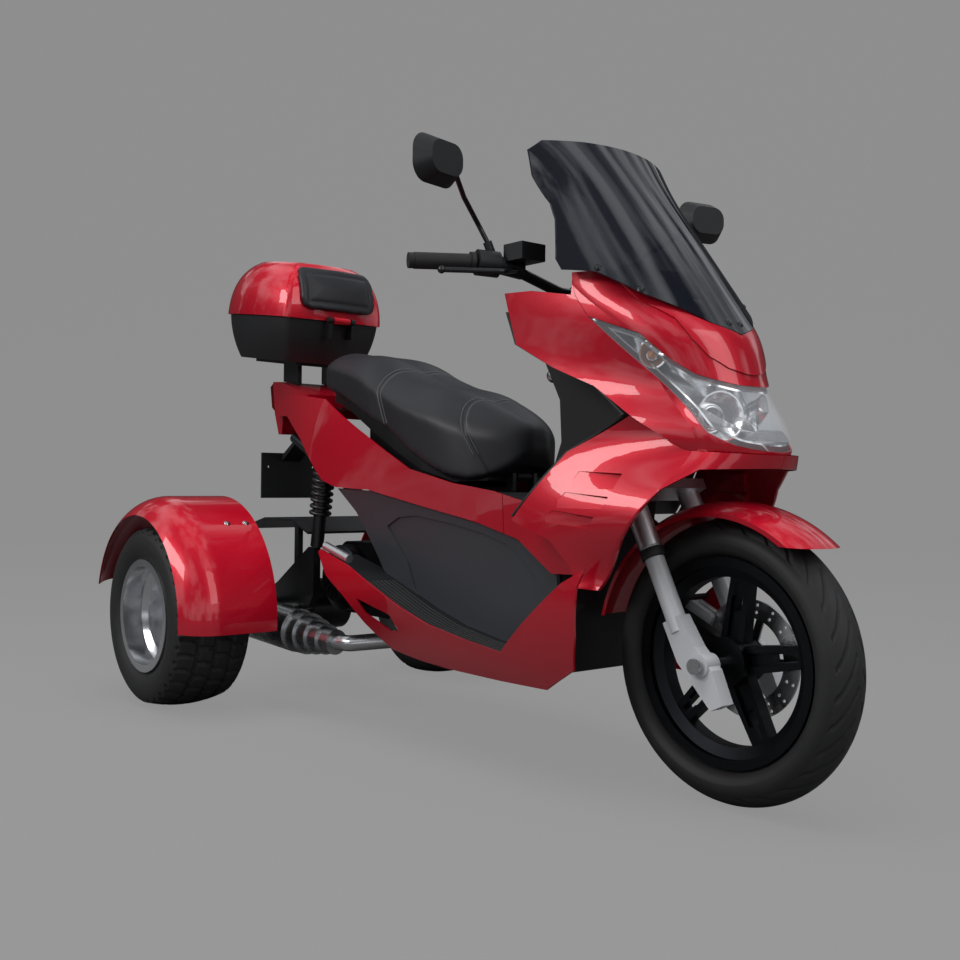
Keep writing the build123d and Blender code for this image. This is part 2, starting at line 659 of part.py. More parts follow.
def inner_shield():
    """Black panel facing the rider: a knee recess on each side of a hollow steering column."""
    behind = [(s + 5.0, z) for s, z in reversed(SHIELD_EDGE)]
    recess = side_slab(list(SHIELD_EDGE) + behind, -SHIELD_HALF_WIDTH, SHIELD_HALF_WIDTH)
    recess = recess & front_inside(PANEL + 0.4)
    opening_half = COLUMN_HALF_WIDTH - 5.0
    column = side_slab(list(SHIELD_EDGE) + list(reversed(COLUMN_REAR)), -COLUMN_HALF_WIDTH,
                       COLUMN_HALF_WIDTH)
    inside = [(s - 6.0, z) for s, z in COLUMN_REAR]
    hollow = side_slab([(s - 8.0, z) for s, z in SHIELD_EDGE] + list(reversed(inside)), -opening_half,
                       opening_half)
    stem = STEER_PLANE * Cylinder(STEM_HOLE, 3000)
    down_tube = rod((230, 0, 704), (345, 0, 540), 26) + rod((345, 0, 560), (345, 0, 400), 26)
    return recess + column - hollow - stem - down_tube


def dash_panel():
    """Black instrument panel that closes the top of the front body, round the steering stem."""
    panel = side_slab([(262, 918), (448, 918), (448, 911.3), (262, 911.3)], -165, 165)
    return panel - STEER_PLANE * Cylinder(STEM_HOLE + 6, 3000)


# Centre and lower body

FLOOR_LINE = ((254, 347.6), (300, 306.9), (384, 239.9), (490, 247.9), (610, 265.9), (706, 291.9),
              (810, 327.9),
              (913, 363.9), (1045, 393.9))
FLOOR_THICKNESS = 6.0
FLOOR_OUTER = 260.0
FLOOR_INNER = 132.2


def floorboard():
    """Right footboard: a toe ramp, a flat and a rise to the passenger's rest."""
    top = list(FLOOR_LINE)
    bottom = [(s, z - FLOOR_THICKNESS) for s, z in reversed(FLOOR_LINE)]
    inside = skin_block(LOWER_SKIN, LOWER_HEIGHTS, PANEL + 0.3)
    return side_slab(top + bottom, -FLOOR_OUTER, -FLOOR_INNER) & inside


# Columns: station, top half-width, middle half-width, bottom half-width
LOWER_SKIN = ((140, 228, 236, 178), (400, 241, 248, 188), (800, 240, 246, 188), (1080, 232, 236, 190))
LOWER_HEIGHTS = (440.0, 320.0, 165.0)
LOWER_OUTLINE = [(151, 424), (203, 396), (299, 317), (384, 246), (487, 258), (609, 277), (706, 305),
                 (810, 343),
                 (913, 380), (1040, 410), (1052, 404), (1012, 350), (935, 307), (860, 252), (775, 200),
                 (680, 188),
                 (590, 183), (415, 182), (285, 184), (190, 236), (172, 300), (166, 390)]
VENT_OUTLINE = [(880, 308), (748, 283), (724, 250), (755, 246), (850, 278)]


def skin_block(table, heights, inset=0.0):
    """The space inside a curved side skin, on the right-hand side, from a table of widths by station."""

    def section(row):
        x = x_at(row[0])
        outer = [Vector(x, -(w - inset), z) for w, z in zip(row[1:], heights)]
        top, bottom = Vector(x, -40, heights[0]), Vector(x, -40, heights[2])
        return make_face([ThreePointArc(*outer), Line(outer[2], bottom), Line(bottom, top),
                          Line(top, outer[0])])

    return loft([section(row) for row in table])


def lower_fairing():
    """Right lower skirt under the footboard, with one air outlet."""
    skin = skin_block(LOWER_SKIN, LOWER_HEIGHTS) - skin_block(LOWER_SKIN, LOWER_HEIGHTS, PANEL)
    return (skin & side_prism(LOWER_OUTLINE)) - side_prism(VENT_OUTLINE)


FOOTWELL_OUTLINE = [(1050, 556), (919, 552), (720, 517), (544, 489), (416, 460), (320, 398), (314, 312),
                    (384, 240),
                    (490, 248), (610, 266), (706, 292), (810, 328), (905, 361), (990, 500)]
FOOTWELL_SKIN = ((290, 150, 138, 131), (550, 158, 142, 131), (800, 172, 146, 131), (1070, 186, 156, 131))
FOOTWELL_HEIGHTS = (565.0, 420.0, 232.0)


# The leg recess that the panel's raised border runs round
LEG_RECESS = [(875, 471), (826, 493), (762, 499), (641, 486), (537, 469), (464, 450), (425, 430),
              (363, 373),
              (340, 220), (700, 220), (790, 330), (813, 392)]
BORDER_HEIGHT = 4.0


def footwell_panel():
    """Right dark grey panel between the footboard and the red side panel, with a sunk leg recess."""
    raised = skin_block(FOOTWELL_SKIN, FOOTWELL_HEIGHTS, -BORDER_HEIGHT) - side_prism(LEG_RECESS)
    skin = skin_block(FOOTWELL_SKIN, FOOTWELL_HEIGHTS) + raised
    skin -= skin_block(FOOTWELL_SKIN, FOOTWELL_HEIGHTS, PANEL)
    return skin & side_prism(FOOTWELL_OUTLINE, -SEAM / 2)


SIDE_PANEL_OUTLINE = [(1505, 752), (1492, 792), (1392, 806), (1165, 780), (939, 680), (777, 604),
                      (630, 574),
                      (496, 559), (400, 540), (300, 480), (232, 440), (222, 404), (320, 400), (416, 462),
                      (544, 491),
                      (720, 519), (919, 554), (1050, 558), (1120, 575), (1269, 678), (1407, 745)]
SIDE_PANEL_SKIN = ((210, 148, 152, 150), (500, 150, 158, 158), (800, 152, 172, 174), (1080, 148, 186, 188),
                   (1300, 128, 162, 168), (1520, 96, 104, 100))
SIDE_PANEL_HEIGHTS = (830.0, 640.0, 390.0)


# The joint line between the panel's front and rear mouldings
PANEL_JOINT = [(466, 570), (468, 570), (460, 470), (458, 470)]
JOINT_DEPTH = 2.0


def side_panel():
    """Right red body panel, from the tunnel below the shield to the tail."""
    skin = skin_block(SIDE_PANEL_SKIN, SIDE_PANEL_HEIGHTS)
    skin -= side_prism(PANEL_JOINT) - skin_block(SIDE_PANEL_SKIN, SIDE_PANEL_HEIGHTS, JOINT_DEPTH)
    skin -= skin_block(SIDE_PANEL_SKIN, SIDE_PANEL_HEIGHTS, PANEL)
    return skin & side_prism(SIDE_PANEL_OUTLINE, -SEAM / 2)


def belly_pan():
    """Black undertray below the frame rails."""
    return side_slab([(345, 201.6), (760, 201.6), (760, 196), (345, 196)], -176, 176)


def wheel_well():
    """Black splash panel behind the front wheel, against the down tube."""
    return side_slab([(318, 208), (324.6, 208), (324.6, 420), (312, 540), (306, 540), (318, 420)], -128,
                     128)


TUNNEL_LINE = ((404, 538), (500, 554), (640, 556))


def tunnel_cover():
    """Black cover on the tunnel between the shield and the seat, with a raised filler lid."""
    strip = list(TUNNEL_LINE) + [(s, z - 6) for s, z in reversed(TUNNEL_LINE)]
    right = side_slab(strip, -260, -40.5) & skin_block(SIDE_PANEL_SKIN, SIDE_PANEL_HEIGHTS, PANEL + 0.4)
    middle = side_slab(strip, -41, 41)
    lid = side_slab([(425, 540), (490, 552), (484, 563), (436, 553)], -52, 52)
    return right + mirror(right, about=Plane.XZ) + middle + lid


SEAT_PIVOT = (585.0, 590.0)
PIN_RADIUS = 5.0
KNUCKLE_RADIUS = 10.0
SEAT_LUG_HALF = 20.0
EAR_THICKNESS = 10.0
EAR_GAP = 6.0


def seat_hinge():
    """Two ears on the tunnel cover with the seat's hinge pin."""
    s, z = SEAT_PIVOT
    base = TUNNEL_LINE[-1][1] + 0.3
    y = SEAT_LUG_HALF + EAR_GAP + EAR_THICKNESS / 2
    hinge = Pos(x_at(s), 0, z) * (Rot(90, 0, 0) * Cylinder(PIN_RADIUS, 2 * y + EAR_THICKNESS))
    ear = Box(20, EAR_THICKNESS, z + 7 - base, align=(Align.CENTER, Align.CENTER, Align.MIN))
    for side in (-1, 1):
        hinge += Pos(x_at(s), side * y, base) * ear
    return hinge


# Frame


def frame():
    """Steel frame: steering head, down tube, floor rails and seat rails."""
    head = STEER_PLANE * (Pos(0, 0, 372) * Cylinder(27, 190, align=(Align.CENTER, Align.CENTER, Align.MIN)))
    tubes = bent_tube([(240, 0, 690), (345, 0, 540), (345, 0, 300), (425, 0, 222), (492, 0, 222)], 20, 30)
    tubes += rod((484, -91, 223), (484, 91, 223), 12)
    for y in (-80, 80):
        tubes += bent_tube([(462, y, 222), (770, y, 222), (930, y * 1.3, 470), (1462, y * 0.85, 690)], 15,
                           60)
    tubes += rod((1440, -66, 683), (1440, 66, 683), 11)
    tubes += rod((887, -97, 402), (887, 97, 402), 9.5)
    tubes += rod((1089.4, -91, 537), (1089.4, 91, 537), 9)
    tubes += rod((1186, -150, 668), (1186, 150, 668), 9)
    tubes += rod((1185, -86, 578), (1185, -86, 670), 7)
    tubes += rod((1185, 86, 578), (1185, 86, 670), 7)
    tubes += rod((468, 0, 226), (468, 0, 540.5), 8)
    bore = STEER_PLANE * Cylinder(STEM_RADIUS + STEM_CLEARANCE, 1600)
    return head + tubes - bore


# Seat and tail

# Columns: station, half-width, underside height, top height
SEAT_SECTIONS = ((533, 24, 648, 682), (560, 70, 608, 706), (600, 104, 588, 724), (680, 140, 592, 758),
                 (790, 156, 644, 784), (900, 158, 702, 816), (1010, 150, 748, 862), (1130, 132, 790, 886),
                 (1240, 100, 822, 886))
# The seat's base, which dips between the side panels. Columns: station, half-width, underside height
SEAT_PAN = ((601, 84, 580), (680, 116, 576), (790, 128, 602), (900, 129, 652), (1010, 122, 702),
            (1130, 106, 755),
            (1235, 80, 780))
SEAT_PAN_WALL = 6.0
HINGE_NOTCH = [(556, 540), (612, 540), (612, 612), (556, 612)]


def seat():
    """Two-level padded cushion, narrow at its nose, with a notch below for the hinge."""

    def section(row):
        s, w, low, high = row
        x = x_at(s)
        shoulder = low + (high - low) * 0.62
        bend_y, bend_z = w * 0.72, high - (high - low) * 0.08
        return make_face([
            Line((x, -w, low), (x, -w, shoulder)),
            ThreePointArc((x, -w, shoulder), (x, -bend_y, bend_z), (x, 0, high)),
            ThreePointArc((x, 0, high), (x, bend_y, bend_z), (x, w, shoulder)),
            Line((x, w, shoulder), (x, w, low)),
            Line((x, w, low), (x, -w, low)),
        ])

    notch_half = SEAT_LUG_HALF + EAR_GAP + EAR_THICKNESS + 10
    return loft([section(row) for row in SEAT_SECTIONS]) - side_slab(HINGE_NOTCH, -notch_half, notch_half)


def pan_block(inset, drop):
    """The outside of the seat's base, or with an inset and a drop the space under it."""

    def section(row):
        s, w, low = row
        plane = Plane(origin=(x_at(s), 0, low - drop), x_dir=(0, 1, 0), z_dir=(1, 0, 0))
        return plane * Rectangle(2 * (w - inset), 70 + drop, align=(Align.CENTER, Align.MIN))

    return loft([section(row) for row in SEAT_PAN], ruled=True)


def seat_pan(cushion):
    """Black base of the seat: a skirt below the cushion and the hinge's lug."""
    hollow_from, hollow_to = SEAT_PAN[0][0] + 40, SEAT_PAN[-1][0] - SEAT_PAN_WALL
    room = side_slab([(hollow_from, 500), (hollow_to, 500), (hollow_to, 900), (hollow_from, 900)], -300,
                     300)
    pan = pan_block(0, 0) - (pan_block(SEAT_PAN_WALL, 20) & room)
    s, z = SEAT_PIVOT
    tongue = [(s, z - 8), (s + 40, z - 8), (s + 40, z + 8), (s, z + 8)]
    lug = side_slab(tongue, -SEAT_LUG_HALF, SEAT_LUG_HALF)
    lug += Pos(x_at(s), 0, z) * (Rot(90, 0, 0) * Cylinder(KNUCKLE_RADIUS, 2 * SEAT_LUG_HALF))
    lug -= Pos(x_at(s), 0, z) * (Rot(90, 0, 0) * Cylinder(PIN_RADIUS + SHAFT_CLEARANCE, 80))
    return pan + lug - cushion


BUCKET_SIDE = [(700, 460), (1040, 460), (1080, 515), (1080, 744), (700, 564)]
BUCKET_HALF_WIDTH = 74.0
BUCKET_WALL = 3.0


def luggage_bucket():
    """Black storage bucket under the seat, open at the top."""
    outer = side_slab(BUCKET_SIDE, -BUCKET_HALF_WIDTH, BUCKET_HALF_WIDTH)
    w = BUCKET_WALL
    (front, floor), (foot, _), (rear, heel) = BUCKET_SIDE[:3]
    inside = [(front + w, floor + w), (foot - w, floor + w), (rear - w, heel + w), (rear - w, 800),
              (front + w, 800)]
    return outer - side_slab(inside, -BUCKET_HALF_WIDTH + w, BUCKET_HALF_WIDTH - w)


TAIL_OUTLINE = [(1300, 800), (1500, 846), (1560, 850), (1545, 760), (1515, 700), (1490, 700), (1480, 770),
                (1300, 770)]
TAIL_PLAN = ((1300, 126), (1400, 112), (1500, 92), (1565, 84))


def tail_section():
    """Red tail between the side panels, which carries the lamp and the luggage rack."""
    plan = [(x_at(s), -y, 0) for s, y in TAIL_PLAN] + [(x_at(s), y, 0) for s, y in reversed(TAIL_PLAN)]
    block = extrude(make_face(Polyline(*plan, close=True)), amount=1500, dir=(0, 0, 1))
    foot = side_slab([(1422, 775), (1472, 775), (1455, 694.3), (1430, 694.3)], -45, 45)
    return (side_prism(TAIL_OUTLINE) & block) + foot


def tail_lamp():
    """Dark red lamp on the rear face of the tail."""
    return side_slab([(1560.5, 846), (1576, 836), (1566, 778), (1546.5, 764)], -84, 84)


# Luggage case, tilted forward on its rack

CASE_TILT_DEG = 7.0
CASE_FRONT_STATION = 1374.0
CASE_BOTTOM_Z = 890.0
CASE_LENGTH = 352.0
CASE_HALF_WIDTH = 186.0
CASE_WALL = 4.0
TUB_HEIGHT = 118.0
LID_HEIGHT = 152.0
LID_GAP = 1.0
CASE_PLANE = Plane(
    origin=(x_at(CASE_FRONT_STATION), 0, CASE_BOTTOM_Z),
    x_dir=(-math.cos(math.radians(CASE_TILT_DEG)), 0, math.sin(math.radians(CASE_TILT_DEG))),
    z_dir=(math.sin(math.radians(CASE_TILT_DEG)), 0, math.cos(math.radians(CASE_TILT_DEG))),
)


def case_section(height, inset):
    """Plan outline of the case: a bowed front face, swelling sides and rounded corners."""
    front, length, width = inset, CASE_LENGTH - inset, CASE_HALF_WIDTH - inset
    a, b = (front + 14, width - 34), (CASE_LENGTH * 0.55, width)
    c = (length - 6, width - 30)
    outline = make_face([
        ThreePointArc((a[0], -a[1], height), (front - 8, 0, height), (a[0], a[1], height)),
        ThreePointArc((a[0], a[1], height), (b[0], b[1], height), (c[0], c[1], height)),
        ThreePointArc((c[0], c[1], height), (length + 8, 0, height), (c[0], -c[1], height)),
        ThreePointArc((c[0], -c[1], height), (b[0], -b[1], height), (a[0], -a[1], height)),
    ])
    return fillet(outline.vertices(), 24)


def case_solid(rows):
    return loft([case_section(height, inset) for height, inset in rows])


LID_BASE = TUB_HEIGHT + LID_GAP
# Columns: height, inset from the case's widest outline
LID_ROWS = ((LID_BASE, 0), (LID_BASE + 40, 3), (LID_BASE + 110, 24), (LID_BASE + LID_HEIGHT, 66))
TUB_ROWS = ((0, 34), (TUB_HEIGHT * 0.6, 12), (TUB_HEIGHT, 6))
LID_PIVOT = (-20.0, LID_BASE + 2)


def case_tub():
    """Black lower half of the case, open at the top."""
    outer = case_solid(TUB_ROWS)
    (low, low_inset), (mid, mid_inset), (top, top_inset) = TUB_ROWS
    inner = case_solid(((low + CASE_WALL, low_inset + CASE_WALL), (mid, mid_inset + CASE_WALL),
                        (top + 1, top_inset + CASE_WALL)))
    return CASE_PLANE * (outer - inner)


def case_lid():
    """Red domed lid with a rim band and a hinge knuckle, open underneath."""
    outer = case_solid(LID_ROWS)
    inner = case_solid(((LID_BASE - 1, CASE_WALL + 6), (LID_BASE + 40, CASE_WALL + 6),
                        (LID_BASE + 110, CASE_WALL + 24),
                        (LID_BASE + LID_HEIGHT - CASE_WALL, CASE_WALL + 68)))
    x, z = LID_PIVOT
    knuckle = Pos(x, 0, z) * (Rot(90, 0, 0) * Cylinder(9, 50)) + Pos(x + 8, 0, z + 6) * Box(18, 50, 10)
    knuckle -= Pos(x, 0, z) * (Rot(90, 0, 0) * Cylinder(PIN_RADIUS + SHAFT_CLEARANCE, 80))
    return CASE_PLANE * (outer + knuckle - inner)


def case_hinge():
    """Two ears on the tub's front with the lid's hinge pin."""
    x, z = LID_PIVOT
    hinge = Pos(x, 0, z) * (Rot(90, 0, 0) * Cylinder(PIN_RADIUS, 84))
    for y in (-36, 36):
        hinge += Pos(x, y, z) * (Rot(90, 0, 0) * Cylinder(9, 12))
        hinge += Pos(x + 10, y, z - 28) * Box(38, 12, 40)
    return CASE_PLANE * (hinge - case_solid(TUB_ROWS))


def case_pad():
    """Black padded backrest on the lid's front face."""
    depth, seat_gap = 14.0, 0.2
    pad = case_solid([(z, inset - depth) for z, inset in LID_ROWS])
    pad -= case_solid([(z, inset - seat_gap) for z, inset in LID_ROWS])
    window = Pos(0, 0, LID_BASE + 84) * Box(150, 230, 112)
    return CASE_PLANE * (pad & fillet(window.edges().filter_by(Axis.X), 24))


def rack():
    """Black carrier plate under the case, on two legs to the tail."""
    length, thickness, seat_gap = CASE_LENGTH - 122, 8.0, 0.3
    plate = Box(length, 190, thickness, align=(Align.MIN, Align.CENTER, Align.MAX))
    plate = CASE_PLANE * (Pos(40, 0, -seat_gap) * plate)
    for y in (-62, 62):
        plate += side_slab([(1450, 836), (1530, 850.3), (1530, 905), (1450, 893)], y - 6, y + 6)
    return plate - tail_section()


# Rear running gear


def rear_axle():
    """Axle tube with its differential and the stub spindles for both wheels."""
    tube_half = TRACK / 2 - 79
    axle = Rot(90, 0, 0) * Cylinder(26, 2 * tube_half)
    axle += Rot(90, 0, 0) * Cylinder(70, 120)
    for side in (-1, 1):
        axle += Pos(0, side * (tube_half - 10), 0) * (Rot(90, 0, 0) * Cylinder(40, 20))
    axle += Rot(90, 0, 0) * Cylinder(AXLE_RADIUS - 0.02, TRACK)
    return Pos(REAR_AXLE_X, 0, REAR_AXLE_Z) * axle


REAR_FENDER_RADIUS = REAR_TYRE_OD / 2 + 70.5
FENDER_INNER_Y = TRACK / 2 - 120.0
FENDER_BEND_Y = TRACK / 2 + 18.0
FENDER_OUTER_Y = TRACK / 2 + 114.0


def rear_fender():
    """Right rear mudguard: a barrel over the wheel that turns down to a lip outside."""
    wall = 4.0
    r, low = REAR_FENDER_RADIUS, REAR_FENDER_RADIUS - 48.0
    turn_y = FENDER_OUTER_Y - 30.0

    def line(inset):
        return [
            Line((r - inset, -FENDER_INNER_Y), (r - inset, -FENDER_BEND_Y)),
            ThreePointArc((r - inset, -FENDER_BEND_Y), (r - 18 - inset, -turn_y),
                          (low, -FENDER_OUTER_Y + inset)),
        ]

    ends = [Line((low, -FENDER_OUTER_Y), (low, -FENDER_OUTER_Y + wall)),
            Line((r, -FENDER_INNER_Y), (r - wall, -FENDER_INNER_Y))]
    profile = make_face(line(0) + line(wall) + ends)
    front_deg, sweep_deg = -4.0, 170.0
    shell = revolve(Rot(0, -front_deg, 0) * profile, Axis.Y, -sweep_deg)
    return Pos(REAR_AXLE_X, 0, REAR_AXLE_Z) * shell


FENDER_STAYS = (52.0, 128.0)


def fender_stay():
    """Two right-hand stays from the axle tube to the mudguard's inner edge."""
    y = -(FENDER_INNER_Y + 5)
    collar = Rot(90, 0, 0) * (Cylinder(34, 10) - Cylinder(26.1, 40))
    for angle in FENDER_STAYS:
        reach = REAR_FENDER_RADIUS - 4.3 - 30
        bar = Pos(30, 0, 0) * Box(reach, 8, 16, align=(Align.MIN, Align.CENTER, Align.CENTER))
        collar += Rot(0, -angle, 0) * bar
    return Pos(REAR_AXLE_X, y, REAR_AXLE_Z) * collar


def muffler():
    """Right exhaust: header pipe, stepped cone, round silencer and its bracket."""
    route = [(886, -30, 267.6), (886, -30, 222), (900, -120, 200), (960, -205, 191), (1004, -214, 190)]
    pipe = bent_tube(route, 19, 24, rear_x)
    cone_start, cone_end, can_end = 1000, 1165, 1350
    y, z = -216, 190
    body = rod((cone_end, y - 6, z + 10), (can_end, y - 22, z + 24), 54)
    for i in range(4):
        a = cone_start + i * (cone_end - cone_start) / 4
        b = a + (cone_end - cone_start) / 4 + 1
        body += rod((a, y, z + i * 2), (b, y - 2, z + i * 2 + 1), 30 + i * 7)
    bracket = Pos(x_at(1285), -152.3, 252) * Box(40, 48, 8, align=(Align.CENTER, Align.MAX, Align.CENTER))
    return pipe + body + bracket


CRANK_Z = 330.0


def engine():
    """Crankcase and forward-lying cylinder of the engine, with cooling fins."""
    case = Pos(rear_x(1060), 0, CRANK_Z) * Box(260, 180, 180)
    body = fillet(case.edges().filter_by(Axis.Y), 40)
    body += Pos(rear_x(880), 0, CRANK_Z) * (Rot(0, 90, 0) * Cylinder(48, 130))
    fin_count, fin_pitch = 7, 13.0
    for i in range(fin_count):
        body += Pos(rear_x(925 - i * fin_pitch), 0, CRANK_Z) * Box(5, 130, 124)
    return body


def fan_cover():
    """Round fan cover on the right of the engine, with a ring of cooling slots."""
    low = (Align.CENTER, Align.CENTER, Align.MIN)
    cover = Cylinder(82, 34, align=low) + Pos(0, 0, 34) * Cone(82, 58, 18, align=low)
    cover -= PolarLocations(36, 14) * (Pos(0, 0, 46) * Box(26, 6, 40))
    return Pos(rear_x(1130), -90.3, CRANK_Z) * (Rot(90, 0, 0) * cover)


def cvt_case():
    """Left transmission case from the crankshaft back to the axle."""
    outline = [(950, 290), (975, 250), (1300, 200), (1360, 226), (1366, 280), (1320, 310), (1100, 410),
               (990, 410),
               (950, 370)]
    case = side_slab(outline, 90.3, 131)
    return fillet(case.faces().sort_by(Axis.Y)[-1].edges(), 14)


SWING_ARM_OUTLINE = [(1216, 280), (1216, 400), (1222, 402), (1242, 402), (1400, 300), (1470, 266),
                     (1470, 204),
                     (1400, 204), (1240, 244)]


def swing_arm():
    """Right arm clamped on the axle tube, with the damper's lower bracket."""
    arm = side_slab(SWING_ARM_OUTLINE, -152.0, -131.3)
    arm -= Pos(REAR_AXLE_X, 0, REAR_AXLE_Z) * (Rot(90, 0, 0) * Cylinder(26.1, 600))
    return arm


def footpeg():
    """Right passenger peg, folded along the rear of the footboard."""
    rise = 10.6
    return rod((1030, -230, 407.6 + rise), (925, -230, 382.8 + rise), 10)


DAMPER_Y = 134.0


def rear_damper():
    """Right coil-over damper."""
    y = -DAMPER_Y
    top, bottom = Vector(x_at(1186), y, 658.6), Vector(x_at(1230), y, 403.6)
    plane = Plane(origin=bottom, z_dir=top - bottom)
    length = (top - bottom).length
    low = (Align.CENTER, Align.CENTER, Align.MIN)
    damper = Cylinder(9, length, align=low) + Cylinder(17, 90, align=low)
    spring_from, spring_to, coils = 88.0, length - 18, 9
    damper += Pos(0, 0, spring_from) * Cylinder(21, spring_to - spring_from, align=low)
    for i in range(coils + 1):
        z = spring_from + (spring_to - spring_from) * i / coils
        damper += Pos(0, 0, z) * Torus(24, 5)
    return plane * damper


def rear_mudguard():
    """Black centre mudguard over the axle, on two posts."""
    guard = side_slab([(1250, 440), (1330, 470), (1480, 470), (1600, 440), (1600, 434), (1480, 464),
                       (1330, 464),
                       (1250, 434)], -150, 150)
    for y in (-148, 134):
        guard += side_slab([(1300, 365.2), (1320, 352.4), (1320, 463), (1300, 455)], y, y + 14)
    return guard


PLATE_HOLE_SPACING = 146.0


def plate_holder():
    """Black number plate bracket on an arm below the tail, with two bolt holes."""
    plate = Pos(x_at(1603), 0, 585) * Box(6, 190, 130)
    plate += side_slab([(1494, 699.6), (1512, 699.6), (1606, 640), (1606, 600), (1600, 600), (1600, 626)],
                       -30, 30)
    for y in (-PLATE_HOLE_SPACING / 2, PLATE_HOLE_SPACING / 2):
        plate -= Pos(x_at(1603), y, 610) * (Rot(0, 90, 0) * Cylinder(3.5, 40))
    return plate


def main():
    os.makedirs("parts", exist_ok=True)
    save(front_tyre(), "front_tyre")
    save(front_rim(), "front_rim")
    save(front_disc(), "front_disc")
    both_sides(rear_tyre, "rear_tyre")
    both_sides(rear_rim, "rear_rim")
    pair(fork_lower, "fork_lowers")
    save(fork_yoke(), "fork_yoke")
    save(front_axle(), "front_axle")
    save(brake_caliper(), "brake_caliper")
    save(front_fender(), "front_fender")
    save(handlebar(), "handlebar")
    pair(grip, "grips")
    pair(control_block, "control_blocks")
    pair(brake_lever, "brake_levers")
    pair(mirror_stem, "mirror_stems")
    pair(mirror_head, "mirror_heads")
    upper = plan_shell(UPPER_SECTIONS)
    save(front_cowl(upper), "front_cowl")
    save(headlight_lens(upper), "headlight_lens")
    pair(lambda: side_fairing(upper), "side_fairings")
    save(headlight_reflector(), "headlight_reflector")
    wings = plan_shell(WING_SECTIONS)
    pair(lambda: wing(wings), "wings")
    save(windscreen(), "windscreen")
    save(inner_shield(), "inner_shield")
    save(dash_panel(), "dash_panel")
    pair(floorboard, "floorboards")
    pair(lower_fairing, "lower_fairings")
    pair(footwell_panel, "footwell_panels")
    pair(side_panel, "side_panels")
    save(belly_pan(), "belly_pan")
    save(wheel_well(), "wheel_well")
    save(frame(), "frame")
    cushion = seat()
    save(cushion, "seat")
    save(seat_pan(cushion), "seat_pan")
    save(tail_section(), "tail_section")
    save(case_tub(), "case_tub")
    save(case_lid(), "case_lid")
    save(rear_axle(), "rear_axle")
    pair(rear_fender, "rear_fenders")
    save(muffler(), "muffler")
    save(engine(), "engine")
    pair(swing_arm, "swing_arms")
    pair(rear_damper, "rear_dampers")
    save(rear_mudguard(), "rear_mudguard")
    save(plate_holder(), "plate_holder")
    save(tunnel_cover(), "tunnel_cover")
    save(seat_hinge(), "seat_hinge")
    save(luggage_bucket(), "luggage_bucket")
    save(tail_lamp(), "tail_lamp")
    save(rack(), "rack")
    save(case_hinge(), "case_hinge")
    save(case_pad(), "case_pad")
    save(fan_cover(), "fan_cover")
    save(cvt_case(), "cvt_case")
    pair(footpeg, "footpegs")
    pair(fender_stay, "fender_stays")


main()
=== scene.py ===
"""Moped trike in red with black mouldings, a tall smoked screen and a rear luggage case."""

import math

import bmesh
import bpy
from mathutils import Matrix, Vector
from mathutils.bvhtree import BVHTree


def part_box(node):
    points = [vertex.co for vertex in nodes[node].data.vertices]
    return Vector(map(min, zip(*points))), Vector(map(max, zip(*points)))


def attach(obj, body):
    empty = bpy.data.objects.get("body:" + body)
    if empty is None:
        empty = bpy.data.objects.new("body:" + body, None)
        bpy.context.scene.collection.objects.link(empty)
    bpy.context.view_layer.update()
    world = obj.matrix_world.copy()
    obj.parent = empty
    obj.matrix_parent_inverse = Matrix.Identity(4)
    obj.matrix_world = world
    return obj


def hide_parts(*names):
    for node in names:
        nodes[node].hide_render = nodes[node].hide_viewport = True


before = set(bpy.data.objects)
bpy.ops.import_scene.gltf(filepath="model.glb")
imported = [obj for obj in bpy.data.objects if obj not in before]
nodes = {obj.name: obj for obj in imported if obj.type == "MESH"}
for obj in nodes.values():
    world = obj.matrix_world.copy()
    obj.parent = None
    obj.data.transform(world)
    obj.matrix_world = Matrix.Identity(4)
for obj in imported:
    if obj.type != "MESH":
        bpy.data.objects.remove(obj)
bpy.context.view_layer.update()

# Studio. An even grey sweep of paper under the trike, lifted to one tone for the camera, with
# large soft boxes above and beside it, and a cloudy sky that only reflections show. The camera
# stands low at the front right corner.
MM = 0.001
CAMERA_PLACE = Vector((2.0279, -1.6531, 0.5852))
CAMERA_YAW, CAMERA_PITCH, CAMERA_ROLL = math.radians(50.665), math.radians(-0.108), math.radians(0.713)
CAMERA_LENS, CAMERA_SENSOR = 42.23, 36.0
PAPER_TONE, PAPER_GLOW, PAPER_SHADE = "#939393", 0.9, "#343434"
CLOUD_SCALE, CLOUD_FROM, CLOUD_TO = 3.2, 0.44, 0.62


def linear(hex_colour):
    """sRGB hex to a linear RGBA colour."""
    parts = [int(hex_colour[i:i + 2], 16) / 255 for i in (1, 3, 5)]
    return (*[c / 12.92 if c <= 0.04045 else ((c + 0.055) / 1.055) ** 2.4 for c in parts], 1.0)


def put(tree, kind, settings, *inputs):
    """Adds a node. Each input is (socket name or number, a value or another node's socket)."""
    new = tree.nodes.new(kind)
    for name, value in settings.items():
        setattr(new, name, value)
    for key, value in inputs:
        if isinstance(value, bpy.types.NodeSocket):
            tree.links.new(value, new.inputs[key])
        else:
            new.inputs[key].default_value = value
    return new


def finish_of(name, colour, roughness, *inputs):
    """A new material: its node tree and its shader, with one base colour."""
    material = bpy.data.materials.new(name)
    material.use_nodes = True
    tree = material.node_tree
    shader = tree.nodes["Principled BSDF"]
    shader.inputs["Base Color"].default_value = linear(colour)
    shader.inputs["Roughness"].default_value = roughness
    for key, value in inputs:
        shader.inputs[key].default_value = value
    return material, tree, shader


